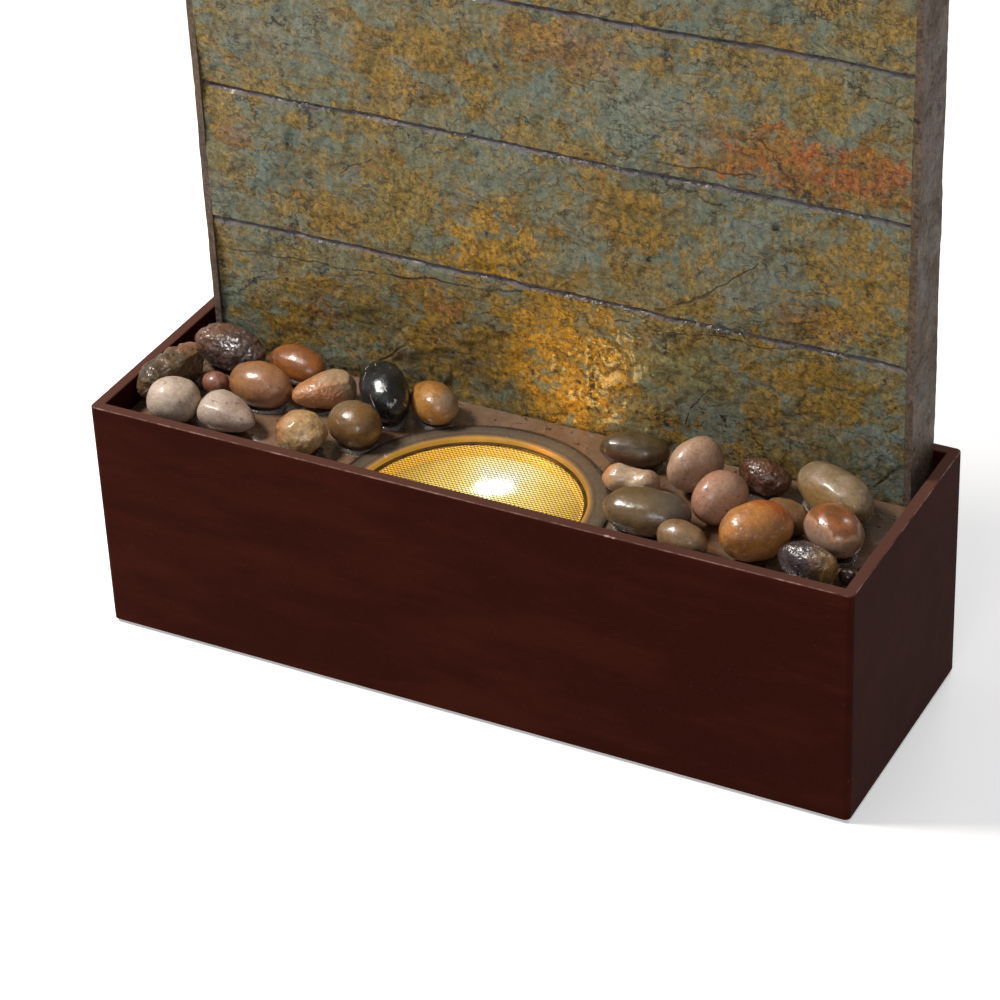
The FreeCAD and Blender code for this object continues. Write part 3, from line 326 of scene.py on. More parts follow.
@dataclass(frozen=True)
class SplitSlate:
    """Riven multicoloured slate, split by hand along its layers and kept wet.

    Iron in the layers gives grey-green stone with ochre and rust oxides. The water film gives a
    soft gloss that breaks up on the split edges.
    """

    name: str
    grey: str = "#77745a"
    blue: str = "#6a7566"
    ochre: str = "#8c6a16"
    olive: str = "#665b24"
    rust: str = "#8c4d18"
    dark: str = "#2c2015"
    lip: str = "#777077"
    ochre_share: float = 0.85
    step: float = 0.45
    wet: float = 0.16
    top: float = 0.0
    stains_and_glow: tuple[StainOrGlow, ...] = ()
    fissures: tuple[Fissure, ...] = ()

    def material(self) -> bpy.types.Material:
        """Builds the slate's material and returns it."""
        draft = Draft(self.name)
        tree = draft.tree
        # the edges of a patch wander by about 9 mm, and fray over the last 3 mm
        warped = draft.warp(20, 40.0, 9.0, 0.68)
        colour = draft.blend(draft.patches(26, 0.46, 0.60, 9.0, on=warped), self.grey, self.blue)
        ochre = draft.patches(34, 0.44, 0.56, 10.0, on=warped)
        share = add(tree, "Math", {0: ochre, 1: self.ochre_share}, operation="MULTIPLY")
        colour = draft.blend(share, colour, self.ochre)
        # oxide stains, and on course 1 the painted glow of the port lamp
        for stain_or_glow in self.stains_and_glow:
            colour = self.stained_or_lit(draft, warped, colour, stain_or_glow)
        colour = self.flecked(draft, warped, colour)
        colour = self.grained(draft, colour)
        level, shadow = self.layers(draft)
        colour = draft.blend(shadow, colour, self.dark)
        pits = draft.patches(6.5, 0.61, 0.70, 8.0)
        colour = draft.blend(pits, colour, self.dark)
        cracks = self.cracks(draft, warped)
        colour = draft.blend(cracks, colour, self.dark)
        gloss = draft.patches(18, 0.35, 0.65, on=warped)
        gloss = add(tree, "MapRange", {"Value": gloss, "To Min": 0.34, "To Max": 0.66})
        if self.top:
            lip = self.lipped(draft)
            colour = draft.blend(lip, colour, self.lip)
            gloss = add(tree, "MapRange", {"Value": lip, "To Min": gloss, "To Max": 0.16})
        draft.set(Base_Color=colour, Roughness=gloss, IOR=1.5, Coat_Weight=self.wet, Coat_Roughness=0.16,
                  Specular_IOR_Level=0.12 + 1.4 * self.wet)
        height = add(tree, "TexNoise", {"Vector": draft.place, "Scale": per(3.4), "Detail": 9.0,
                                        "Roughness": 0.8})
        cut = add(tree, "Math", {0: height, 1: cracks}, operation="SUBTRACT")
        stepped = add(tree, "Math", {0: level, 1: self.step, 2: cut}, operation="MULTIPLY_ADD")
        draft.relief(stepped, 2.2, 1.0)
        return draft.material

    def grained(self, draft: Draft, colour: Socket) -> Socket:
        """Stipples the stone with mineral grain of 1 to 3 mm, which is harshest where it has rusted."""
        tree = draft.tree
        strength = add(tree, "SeparateColor", {0: colour}, mode="HSV", out=1)
        oxide = add(tree, "MapRange", {"Value": strength, "From Min": 0.45, "From Max": 0.85})
        grain = add(tree, "TexNoise", {"Vector": draft.place, "Scale": per(2.6), "Detail": 8.0,
                                       "Roughness": 0.85})
        fall = add(tree, "Mapping", {"Vector": draft.place, "Scale": (1.0, 1.0, 0.14)})
        runs = add(tree, "TexNoise", {"Vector": fall, "Scale": per(2.4), "Detail": 3.0})
        soft = add(tree, "MapRange", {"Value": runs, "From Min": 0.3, "From Max": 0.7, "To Min": 0.84,
                                      "To Max": 1.14})
        harsh = add(tree, "MapRange", {"Value": grain, "From Min": 0.40, "From Max": 0.60,
                                       "To Min": 0.34, "To Max": 1.85})
        calm = add(tree, "MapRange", {"Value": grain, "From Min": 0.40, "From Max": 0.60,
                                      "To Min": 0.70, "To Max": 1.42})
        both = add(tree, "MapRange", {"Value": oxide, "To Min": calm, "To Max": harsh})
        light = add(tree, "Math", {0: both, 1: soft}, operation="MULTIPLY")
        return add(tree, "HueSaturation", {"Color": colour, "Value": light})

    def layers(self, draft: Draft) -> tuple[Socket, Socket]:
        """Returns the level of the split layers, and the shadow under each layer's broken edge."""
        tree = draft.tree
        lie = add(tree, "Mapping", {"Vector": draft.place, "Rotation": (0.0, 0.45, 0.0),
                                    "Scale": (0.75, 1.0, 1.25)})
        slope = add(tree, "TexNoise", {"Vector": lie, "Scale": per(42), "Detail": 10.0, "Roughness": 0.60})
        rise = add(tree, "Math", {0: slope, 1: 15.0}, operation="MULTIPLY")
        tread = add(tree, "Math", {0: rise}, operation="FLOOR")
        within = add(tree, "Math", {0: rise}, operation="FRACT")
        riser = add(tree, "MapRange", {"Value": within, "From Max": 0.22}, interpolation_type="SMOOTHSTEP")
        level = add(tree, "Math", {0: tread, 1: riser}, operation="ADD")
        foot = add(tree, "MapRange", {"Value": within, "From Min": 0.05, "From Max": 0.16, "To Min": 0.85,
                                      "To Max": 0.0})
        some = draft.patches(22, 0.50, 0.58, 6.0)
        return level, add(tree, "Math", {0: foot, 1: some}, operation="MULTIPLY")

    def flecked(self, draft: Draft, warped: Socket, colour: Socket) -> Socket:
        """Breaks every patch up with flecks of the other minerals, 4 to 12 mm across."""
        tree = draft.tree
        slanted = add(tree, "Mapping", {"Vector": warped, "Rotation": (0.0, 0.5, 0.0),
                                        "Scale": (0.6, 1.0, 1.25)})
        minerals = (
            (12, 0.48, 0.60, 0.62, self.olive), (15, 0.53, 0.60, 0.85, self.blue),
            (8, 0.52, 0.62, 0.8, self.ochre), (6, 0.57, 0.66, 0.7, self.grey),
            (12, 0.60, 0.70, 0.75, self.rust),
        )
        for size, low, high, share, code in minerals:
            moved = add(tree, "VectorMath", {0: slanted, 1: (size * 0.07, 0.3, size * 0.11)})
            fleck = draft.patches(size, low, high, 9.0, on=moved)
            thin = add(tree, "Math", {0: fleck, 1: share}, operation="MULTIPLY")
            colour = draft.blend(thin, colour, code)
        return colour

    def lipped(self, draft: Draft) -> Socket:
        """Returns where the tile's broken top edge holds water: its last 2 to 3 mm."""
        tree = draft.tree
        level = add(tree, "SeparateXYZ", {0: draft.place}, out=2)
        ragged = add(tree, "TexNoise", {"Vector": draft.place, "Scale": per(14), "Detail": 5.0})
        reach = add(tree, "Math", {0: ragged, 1: 4.2 * MM, 2: level}, operation="MULTIPLY_ADD")
        return add(tree, "MapRange", {"Value": reach, "From Min": self.top - 1.0 * MM,
                                      "From Max": self.top, "To Max": 0.75})

    @staticmethod
    def stained_or_lit(draft: Draft, warped: Socket, colour: Socket, stain_or_glow: StainOrGlow) -> Socket:
        """Lays one patch of oxide colour or of painted lamp glow over the stone's colour and returns the
        result.
        """
        tree = draft.tree
        spot = add(
            tree, "Mapping",
            {"Vector": warped, "Location": (stain_or_glow.across * MM, 0.032, stain_or_glow.up * MM),
             "Scale": (stain_or_glow.half_width * MM, 0.2, stain_or_glow.half_height * MM)},
            vector_type="TEXTURE",
        )
        fade = add(tree, "TexGradient", {"Vector": spot}, gradient_type="SPHERICAL", out=1)
        ragged = add(tree, "TexNoise", {"Vector": draft.place, "Scale": per(11), "Detail": 9.0,
                                        "Roughness": 0.66})
        both = add(tree, "Math", {0: ragged, 1: 1.9, 2: fade}, operation="MULTIPLY_ADD")
        share = add(
            tree, "MapRange",
            {"Value": both, "From Min": 1.16, "From Max": 1.38, "To Max": stain_or_glow.strength},
            interpolation_type="SMOOTHSTEP",
        )
        return draft.blend(share, colour, stain_or_glow.colour)

    def cracks(self, draft: Draft, warped: Socket) -> Socket:
        """Returns thin cracks of 0.4 mm, most of which have closed again, and the long fissures."""
        tree = draft.tree
        flat = add(tree, "Mapping", {"Vector": warped, "Scale": (0.45, 0.55, 1.15)})
        cells = add(tree, "TexVoronoi", {"Vector": flat, "Scale": per(70)}, feature="DISTANCE_TO_EDGE")
        line = add(tree, "MapRange", {"Value": cells, "From Min": 0.002, "From Max": 0.008,
                                      "To Min": 0.85, "To Max": 0.0})
        part = draft.patches(30, 0.53, 0.60, 5.0)
        whole = add(tree, "Math", {0: line, 1: part}, operation="MULTIPLY")
        bent = draft.warp(26, 14.0, 6.0)
        gaps = draft.patches(9, 0.36, 0.52, 4.0)
        open_part = add(tree, "MapRange", {"Value": gaps, "To Min": 0.15})
        for fissure in self.fissures:
            first, last = Vector(fissure.start) * MM, Vector(fissure.end) * MM
            run = last - first
            middle = (first + last) / 2.0
            own = add(
                tree, "Mapping",
                {"Vector": bent, "Location": (middle.x, 0.0, middle.y),
                 "Rotation": (0.0, -math.atan2(run.y, run.x), 0.0),
                 "Scale": (run.length / 2.0, 1.0, fissure.half_width * MM)},
                vector_type="TEXTURE",
            )
            split = add(tree, "SeparateXYZ", {0: own}).node.outputs
            across = add(tree, "Math", {0: split[2]}, operation="ABSOLUTE")
            dark = add(tree, "MapRange", {"Value": across, "From Min": 0.5, "From Max": 1.6, "To Min": 0.75,
                                          "To Max": 0.0})
            inside = add(tree, "Math", {0: split[0], 1: 0.0, 2: 1.0}, operation="COMPARE")
            one = add(tree, "Math", {0: dark, 1: inside}, operation="MULTIPLY")
            one = add(tree, "Math", {0: one, 1: open_part}, operation="MULTIPLY")
            whole = add(tree, "Math", {0: whole, 1: one}, operation="MAXIMUM")
        return whole


class Marking(Enum):
    """How a pebble's minerals are laid."""

    MOTTLED = "mottled"
    BANDED = "banded"
    VEINED = "veined"
    AGATE = "agate"


@dataclass(frozen=True)
class RiverStone:
    """A tumbled river pebble of quartzite, jasper, agate or schist, wet from the fountain.

    Tumbling gives a smooth skin, the minerals give its mottling, and the water film gives sharp
    highlights and a deeper colour.

    Attributes:
        ground, mottle, speck, patch: colours of its minerals, without a patch where that is empty.
        patch_towards, patch_from: which way the patch lies, and how far out it starts.
        grain_mm: size of its mottling.
        marking: how its minerals are laid.
        roughness, pitting: gloss and depth of its skin.
        film: share of the water film over it.
    """

    ground: str
    mottle: str
    speck: str = "#4a3020"
    patch: str = ""
    patch_towards: tuple[float, float, float] = (1.0, 0.0, 0.0)
    patch_from: float = 0.35
    grain_mm: float = 7.0
    marking: Marking = Marking.MOTTLED
    roughness: float = 0.38
    pitting: float = 0.3
    film: float = 0.4

    def material(self, name: str, centre: Vector, half: Vector, turn: float) -> bpy.types.Material:
        """Builds the stone's material, laid on the stone's own axes.

        Args:
            name: the material's name.
            centre: middle of the stone, in metres.
            half: half of its length, breadth and height, in metres.
            turn: how far its long axis is turned from the tub's, in radians.

        Returns:
            The material.
        """
        draft = Draft(name)
        tree = draft.tree
        own = add(
            tree, "Mapping",
            {"Vector": draft.place, "Location": centre, "Rotation": (0.0, 0.0, turn), "Scale": half},
            vector_type="TEXTURE",
        )
        blotch = draft.patches(self.grain_mm * 1.6, 0.38, 0.64, 5.0)
        colour = draft.blend(blotch, self.ground, self.mottle)
        if self.marking is Marking.BANDED:
            colour = self.banded(draft, own, colour)
        if self.marking is Marking.AGATE:
            colour = self.ringed(draft, own, colour)
        if self.patch:
            towards = Vector(self.patch_towards).normalized()
            along = add(tree, "VectorMath", {0: own, 1: towards}, operation="DOT_PRODUCT", out=1)
            ragged = add(tree, "TexNoise", {"Vector": draft.place, "Scale": per(8), "Detail": 5.0})
            both = add(tree, "Math", {0: ragged, 1: 0.9, 2: along}, operation="MULTIPLY_ADD")
            share = add(tree, "MapRange", {"Value": both, "From Min": self.patch_from + 0.25,
                                           "From Max": self.patch_from + 0.85, "To Max": 0.9})
            colour = draft.blend(share, colour, self.patch)
        if self.marking is Marking.VEINED:
            colour = self.veined(draft, own, colour)
        specks = draft.patches(self.grain_mm * 0.42, 0.60, 0.72, 3.0)
        thin = add(tree, "Math", {0: specks, 1: 0.75}, operation="MULTIPLY")
        colour = draft.blend(thin, colour, self.speck)
        fine = add(tree, "TexNoise", {"Vector": draft.place, "Scale": per(1.3), "Detail": 4.0})
        light = add(tree, "MapRange", {"Value": fine, "From Min": 0.3, "From Max": 0.7,
                                       "To Min": 0.82, "To Max": 1.16})
        colour = add(tree, "HueSaturation", {"Color": colour, "Value": light})
        gloss = add(tree, "MapRange", {"Value": blotch, "To Min": self.roughness,
                                       "To Max": self.roughness + 0.14})
        draft.set(Base_Color=colour, Roughness=gloss, IOR=1.52, Coat_Weight=self.film, Coat_Roughness=0.13)
        draft.relief(fine, 0.5, self.pitting)
        return draft.material

    def banded(self, draft: Draft, own: Socket, colour: Socket) -> Socket:
        """Lays sediment bands across the stone, about a fifth of its height apart."""
        bands = add(
            draft.tree, "TexWave",
            {"Vector": own, "Scale": 0.9, "Distortion": 5.0, "Detail": 3.0, "Detail Scale": 1.2},
            wave_type="BANDS", bands_direction="Z", out=1,
        )
        thin = add(draft.tree, "Math", {0: bands, 1: 0.6}, operation="MULTIPLY")
        return draft.blend(thin, colour, self.mottle)

    def ringed(self, draft: Draft, own: Socket, colour: Socket) -> Socket:
        """Lays an oval agate eye on top, with a pale rim round it."""
        tree = draft.tree
        flat = add(tree, "Mapping", {"Vector": own, "Location": (0.05, -0.05, 0.0),
                                     "Scale": (1.4, 1.15, 9.0)},
                   vector_type="TEXTURE")
        far = add(tree, "VectorMath", {0: flat}, operation="LENGTH", out=1)
        wobble = add(tree, "TexNoise", {"Vector": draft.place, "Scale": per(9), "Detail": 3.0})
        both = add(tree, "Math", {0: wobble, 1: 0.5, 2: far}, operation="MULTIPLY_ADD")
        rings = add(
            tree, "ValToRGB", {"Fac": both},
            stops=((0.45, "#70401c"), (0.66, "#94541f"), (0.84, "#7c4422"), (0.90, "#b48a62"),
                   (0.96, "#9a7058"),
                   (1.0, "#8f7462")),
        )
        return draft.blend(0.9, colour, rings)

    def veined(self, draft: Draft, own: Socket, colour: Socket) -> Socket:
        """Runs thin white calcite veins over dark stone."""
        tree = draft.tree
        lines = add(
            tree, "TexWave",
            {"Vector": own, "Scale": 0.75, "Distortion": 9.0, "Detail": 4.0, "Detail Scale": 1.1},
            wave_type="BANDS", bands_direction="DIAGONAL", out=1,
        )
        thin = add(tree, "MapRange", {"Value": lines, "From Min": 0.965, "From Max": 1.0,
                                      "To Max": 0.75})
        some = draft.patches(7, 0.50, 0.60, 5.0)
        share = add(tree, "Math", {0: thin, 1: some}, operation="MULTIPLY")
        return draft.blend(share, colour, "#c9c4bd")


@dataclass(frozen=True)
class TubLacquer:
    """Brushed brown lacquer over a pale primer on a wooden tub, worn through along its edges."""

    colour: str = "#2f1009"
    faded: str = "#38150d"
    # rim: lighter colour of the rim top, a painted highlight of the overhead light
    rim: str = "#5a3c34"
    primer: str = "#c8a298"

    def material(self) -> bpy.types.Material:
        """Builds the tub's material from the distance to its outer edges and returns it."""
        draft = Draft("brown_tub_lacquer")
        tree = draft.tree
        low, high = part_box("tub")
        split = add(tree, "SeparateXYZ", {0: draft.place}).node.outputs
        inset = []
        for axis, reach in ((0, high.x), (1, high.y)):
            size = add(tree, "Math", {0: split[axis]}, operation="ABSOLUTE")
            inset.append(add(tree, "Math", {0: reach, 1: size}, operation="SUBTRACT"))
        inset.append(add(tree, "Math", {0: high.z, 1: split[2]}, operation="SUBTRACT"))
        pairs = [
            add(tree, "Math", {0: inset[a], 1: inset[b]}, operation="MAXIMUM")
            for a, b in ((0, 1), (1, 2), (0, 2))
        ]
        nearer = add(tree, "Math", {0: pairs[0], 1: pairs[1]}, operation="MINIMUM")
        edge = add(tree, "Math", {0: nearer, 1: pairs[2]}, operation="MINIMUM")
        # the worn line is up to 0.4 mm wide, with chips of up to 1.6 mm every few centimetres
        rub = add(tree, "TexNoise", {"Vector": draft.place, "Scale": per(7), "Detail": 5.0,
                                     "Roughness": 0.65})
        chips = add(tree, "TexNoise", {"Vector": draft.place, "Scale": per(19), "Detail": 3.0,
                                       "Roughness": 0.6})
        line = add(tree, "MapRange", {"Value": rub, "From Min": 0.35, "From Max": 0.65,
                                      "To Min": 0.0, "To Max": 0.42 * MM})
        chip = add(tree, "MapRange", {"Value": chips, "From Min": 0.66, "From Max": 0.78,
                                      "To Min": 0.0, "To Max": 1.6 * MM})
        width = add(tree, "Math", {0: line, 1: chip}, operation="ADD")
        inside = add(tree, "Math", {0: width, 1: edge}, operation="SUBTRACT")
        worn = add(tree, "MapRange", {"Value": inside, "From Min": -0.25 * MM, "From Max": 0.35 * MM,
                                      "To Max": 0.68})
        # the upright edges are rubbed less than the rim
        rubbed = add(tree, "MapRange", {"Value": inset[2], "From Min": 1.5 * MM, "From Max": 4.0 * MM,
                                        "To Min": 1.0, "To Max": 0.35})
        worn = add(tree, "Math", {0: worn, 1: rubbed}, operation="MULTIPLY")
        # painted highlight: the rim top, within 0.9 mm of the tub's top, takes the lighter rim colour, as the
        # overhead light falls on it
        level = add(tree, "MapRange", {"Value": inset[2], "From Min": 0.2 * MM, "From Max": 0.9 * MM,
                                       "To Min": 0.8, "To Max": 0.0})
        streak = add(tree, "Mapping", {"Vector": draft.place, "Scale": (0.25, 1.0, 1.0)})
        colour = draft.blend(draft.patches(20, 0.4, 0.7, on=streak), self.colour, self.faded)
        dust = draft.patches(1.6, 0.62, 0.74, 2.0)
        faint = add(tree, "Math", {0: dust, 1: 0.05}, operation="MULTIPLY")
        colour = draft.blend(faint, colour, "#7a5a50")
        colour = draft.blend(level, colour, self.rim)
        colour = draft.blend(worn, colour, self.primer)
        gloss = add(tree, "MapRange", {"Value": worn, "To Min": 0.5, "To Max": 0.65})
        draft.set(Base_Color=colour, Roughness=gloss, IOR=1.45, Specular_IOR_Level=0.012)
        brushed = add(tree, "TexNoise", {"Vector": streak, "Scale": per(2.2), "Detail": 4.0})
        height = add(tree, "Math", {0: worn, 1: -0.5, 2: brushed}, operation="MULTIPLY_ADD")
        draft.relief(height, 0.35, 0.4)
        return draft.material


@dataclass(frozen=True)
class WetResin:
    """Moulded stone-coloured resin of the deck and the port ring, under a thin sheet of water."""

    name: str
    ground: str
    tint: str
    dark: str
    rust: str
    rings: bool = False

    def material(self) -> bpy.types.Material:
        """Builds the wet resin's material and returns it."""
        draft = Draft(self.name)
        tree = draft.tree
        colour = draft.blend(draft.patches(26, 0.38, 0.62, 6.0), self.ground, self.tint)
        colour = draft.blend(draft.patches(12, 0.54, 0.68, 6.0), colour, self.rust)
        colour = draft.blend(draft.patches(4, 0.58, 0.70, 4.0), colour, self.dark)
        if self.rings:
            colour = self.ringed(draft, colour)
        pool = draft.patches(21, 0.44, 0.56, 3.0)
        gloss = add(tree, "MapRange", {"Value": pool, "To Min": 0.34, "To Max": 0.06})
        draft.set(Base_Color=colour, Roughness=gloss, IOR=1.4, Coat_Weight=0.8, Coat_Roughness=0.05)
        ripple = add(tree, "TexNoise", {"Vector": draft.place, "Scale": per(6), "Detail": 5.0,
                                        "Roughness": 0.6})
        draft.relief(ripple, 1.2, 0.7)
        return draft.material

    def ringed(self, draft: Draft, colour: Socket) -> Socket:
        """Lays the scum lines, painted lamp light on the lip and painted shade in the gap outside the ring,
        in rings from its middle.
        """
        tree = draft.tree
        flat = add(tree, "Mapping", {"Vector": draft.place, "Location": (PORT.x, PORT.y, 0.0),
                                     "Scale": (1, 1, 1e3)},
                   vector_type="TEXTURE")
        far = add(tree, "VectorMath", {0: flat}, operation="LENGTH", out=1)
        wobble = add(tree, "TexNoise", {"Vector": draft.place, "Scale": per(30), "Detail": 2.0})
        both = add(tree, "Math", {0: wobble, 1: 1.6 * MM, 2: far}, operation="MULTIPLY_ADD")
        zone = add(tree, "MapRange", {"Value": both, "From Min": 56 * MM, "From Max": 70 * MM})
        # the gold first stops are painted lamp light on the lip; the near-black last stop is painted shade in
        # the gap between the ring and the deck
        bands = add(
            tree, "ValToRGB", {"Fac": zone},
            stops=((0.0, "#f0cc6a"), (0.07, "#8a6230"), (0.11, "#dcb058"), (0.16, "#7a4a2c"),
                   (0.28, "#6e5a48"),
                   (0.42, "#51453a"), (0.46, "#62584a"), (0.78, "#52483c"), (0.86, "#1d1714")),
        )
        # the lamp shines through the thin lip and up the collar
        glow = add(tree, "MapRange", {"Value": both, "From Min": 56.0 * MM, "From Max": 61.0 * MM,
                                      "To Min": 0.9,
                                      "To Max": 0.0}, interpolation_type="SMOOTHSTEP")
        draft.set(Emission_Color="#e0a840", Emission_Strength=glow)
        return draft.blend(0.78, colour, bands)


@dataclass(frozen=True)
class LitWater:
    """Water in the port over a warm lamp: white over the lens, honey-coloured away from it."""

    core: tuple[float, float] = (-3.0, -21.0)
    reach: float = 62.0

    def material(self) -> bpy.types.Material:
        """Builds the glowing water's material and returns it."""
        draft = Draft("lit_water")
        tree = draft.tree
        ripple = add(tree, "TexNoise", {"Vector": draft.place, "Scale": per(9), "Detail": 4.0})
        near = add(
            tree, "Mapping",
            {"Vector": draft.warp(9, 16.0, 4.0), "Location": (self.core[0] * MM, self.core[1] * MM, 0.0),
             "Scale": (self.reach * MM, self.reach * MM, 1e3)},
            vector_type="TEXTURE",
        )
        far = add(tree, "VectorMath", {0: near}, operation="LENGTH", out=1)
        fan = self.fan(draft, near)
        close = add(tree, "Math", {0: fan, 1: -0.20, 2: far}, operation="MULTIPLY_ADD")
        tone = add(
            tree, "ValToRGB", {"Fac": close},
            stops=((0.0, "#fffae0"), (0.10, "#fff0b4"), (0.26, "#ffe488"), (0.48, "#eec866"),
                   (0.74, "#c8a048"),
                   (1.0, "#94702f")),
        )
        power = add(tree, "MapRange", {"Value": far, "From Min": 0.0, "From Max": 0.22, "To Min": 5.0,
                                       "To Max": 1.3}, interpolation_type="SMOOTHSTEP")
        draft.set(Base_Color="#3a2a10", Roughness=0.08, IOR=1.33, Emission_Color=tone,
                  Emission_Strength=power)
        draft.relief(ripple, 1.0, 0.5)
        return draft.material

    @staticmethod
    def fan(draft: Draft, near: Socket) -> Socket:
        """Returns the brighter fan of light that the lens throws towards the slate."""
        tree = draft.tree
        split = add(tree, "SeparateXYZ", {0: near}).node.outputs
        side = add(tree, "Math", {0: split[0]}, operation="ABSOLUTE")
        spread = add(tree, "Math", {0: split[1], 1: 0.8, 2: 0.22}, operation="MULTIPLY_ADD")
        inside = add(tree, "Math", {0: spread, 1: side}, operation="SUBTRACT")
        return add(tree, "MapRange", {"Value": inside, "From Min": -0.12, "From Max": 0.22})


@dataclass(frozen=True)
class Stock:
    """A plain stock material: moulded plastic, rubber, vinyl, ceramic, foam or metal.

    Moulding leaves a fine texture and slight flow marks, and handling leaves duller patches.
    """

    name: str
    colour: str
    worn: str
    roughness: float
    grain_mm: float = 1.2
    relief_mm: float = 0.08
    metallic: float = 0.0
    drawn: bool = False
    clear: float = 0.0

    def material(self) -> bpy.types.Material:
        """Builds the material and returns it."""
        draft = Draft(self.name)
        tree = draft.tree
        stretch = (1.0, 1.0, 0.08) if self.drawn else (1.0, 1.0, 1.0)
        lie = add(tree, "Mapping", {"Vector": draft.place, "Scale": stretch})
        marks = draft.patches(16, 0.35, 0.70, 4.0, on=lie)
        grain = add(tree, "TexNoise", {"Vector": lie, "Scale": per(self.grain_mm), "Detail": 3.0})
        colour = draft.blend(marks, self.colour, self.worn)
        gloss = add(tree, "MapRange", {"Value": marks, "To Min": self.roughness,
                                       "To Max": min(1.0, self.roughness + 0.18)})
        draft.set(Base_Color=colour, Roughness=gloss, Metallic=self.metallic, Transmission_Weight=self.clear)
        draft.relief(grain, self.relief_mm, 0.6)
        return draft.material


def lamp_tinted_wire() -> bpy.types.Material:
    """Builds the drawn steel wire of the screen, whose golden brown colour is painted lamp light from below,
    and returns it.
    """
    draft = Draft("steel_wire_over_lamp")
    marks = draft.patches(7, 0.35, 0.7, 3.0)
    # painted lamp light: the steel is drawn golden brown, as the lamp below lights it
    colour = draft.blend(marks, "#6a4e20", "#443012")
    gloss = add(draft.tree, "MapRange", {"Value": marks, "To Min": 0.42, "To Max": 0.6})
    draft.set(Base_Color=colour, Metallic=0.6, Roughness=gloss)
    return draft.material


def clear_water() -> bpy.types.Material:
    """Builds the clear water of beads and drops and returns it."""
    draft = Draft("clear_water")
    wave = add(draft.tree, "TexNoise", {"Vector": draft.place, "Scale": per(1.5), "Detail": 1.0})
    draft.set(Base_Color="#ffffff", Roughness=0.02, IOR=1.33, Transmission_Weight=0.9)
    draft.relief(wave, 0.05, 0.3)
    return draft.material


# ---------------------------------------------------------------- slate


# levels of the cloudy height and the depths that they split to, as treads with short risers between
LEDGES = ((0.34, 0.0), (0.365, 0.24), (0.44, 0.32), (0.46, 0.50), (0.52, 0.56), (0.54, 0.76), (0.62, 0.82),
          (0.64, 1.0))
# the chamfer under a tile's top edge: rows of the grid that it takes in, and its share of the depth
CHAMFER = ((0.5, 0.4), (1.5, 0.35), (2.5, 0.25))


class Facing(Enum):
    """Which way a tile's riven face looks: the axis, and the sign along it."""

    FRONT = ("Y", -1.0)
    LEFT = ("X", -1.0)
    RIGHT = ("X", 1.0)


@dataclass
class SlateTile:
    """One riven tile over the CAD solid of the same name.

    Attributes:
        node: the CAD solid.
        facing: which way its riven face looks.
        finish: the slate that it is split from.
        cell: spacing of its grid, in millimetres.
        ledge: depth of its split layers, in millimetres.
        roughness: depth of its broken skin, in millimetres.
        chamfer: how far its top edge falls back, in millimetres.
    """

    node: str
    facing: Facing
    finish: bpy.types.Material
    cell: float = 1.05
    ledge: float = 2.6
    roughness: float = 1.5
    chamfer: float = 2.6

    def build(self) -> bpy.types.Object:
        """Splits the tile's face into ledges, keeps its back flat and returns the tile."""
        low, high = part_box(self.node)
        axis_name, sign = self.facing.value
        axis = "XYZ".index(axis_name)
        across, up = [i for i in range(3) if i != axis]
        length, height = high[across] - low[across], high[up] - low[up]
        columns, rows = (max(4, round(s / (self.cell * MM))) for s in (length, height))
        tile = self.sheet(length, height, columns, rows)
        face = high[axis] if sign > 0 else low[axis]
        place = (low + high) / 2.0
        place[axis] = face - sign * 0.5 * self.ledge * MM
        tile.location = place
        settle(tile)
        top = high[up]
        row = height / rows
        inward = Vector((0.0, 0.0, 0.0))
        inward[axis] = -sign * self.chamfer * MM
        for reach, share in CHAMFER:
            pick(tile, lambda co: co[up] > top - reach * row)
            bpy.ops.transform.translate(value=inward * share)
            leave()
        out = sign * MM
        modify(tile, "DISPLACE", texture=cloud(46, 5, ledges=LEDGES), direction=axis_name,
               strength=out * self.ledge)
        modify(tile, "DISPLACE", texture=cloud(10, 6, hard=True), direction=axis_name,
               strength=out * self.roughness)
        modify(tile, "DISPLACE", texture=cloud(11, 4), direction="XYZ"[up], strength=0.5 * MM)
        self.back_up(tile, axis, low[axis] if sign > 0 else high[axis])
        bpy.ops.object.shade_smooth_by_angle(angle=math.radians(38))
        dress(tile, self.finish)
        hand_over(tile, "root", "slate", self.node)
        return tile

    def sheet(self, length: float, height: float, columns: int, rows: int) -> bpy.types.Object:
        """Lays a flat grid, stands it up to look the tile's way and returns it."""
        bpy.ops.mesh.primitive_grid_add(x_subdivisions=columns, y_subdivisions=rows, size=1.0)
        tile = bpy.context.object
        tile.name = self.node + "_riven"
        tile.scale = (length, height, 1.0)
        settle(tile)
        if self.facing is Facing.FRONT:
            tile.rotation_euler = (math.pi / 2, 0.0, 0.0)
        else:
            tile.matrix_world = Matrix(((0, 0, 1, 0), (1, 0, 0, 0), (0, 1, 0, 0), (0, 0, 0, 1)))
        settle(tile)
        return tile

    @staticmethod
    def back_up(tile: bpy.types.Object, axis: int, back: float) -> None:
        """Draws the face's outline back to the tile's flat back and closes it."""
        pick(tile, lambda co: True)
        bpy.ops.mesh.region_to_loop()
        bpy.ops.mesh.extrude_edges_move()
        flat = [1.0, 1.0, 1.0]
        flat[axis] = 0.0
        bpy.ops.transform.resize(value=flat, center_override=[back] * 3)
        bpy.ops.mesh.edge_face_add()
        bpy.ops.mesh.select_all(action="SELECT")
        bpy.ops.mesh.normals_make_consistent(inside=False)
        leave()


# ---------------------------------------------------------------- pebbles


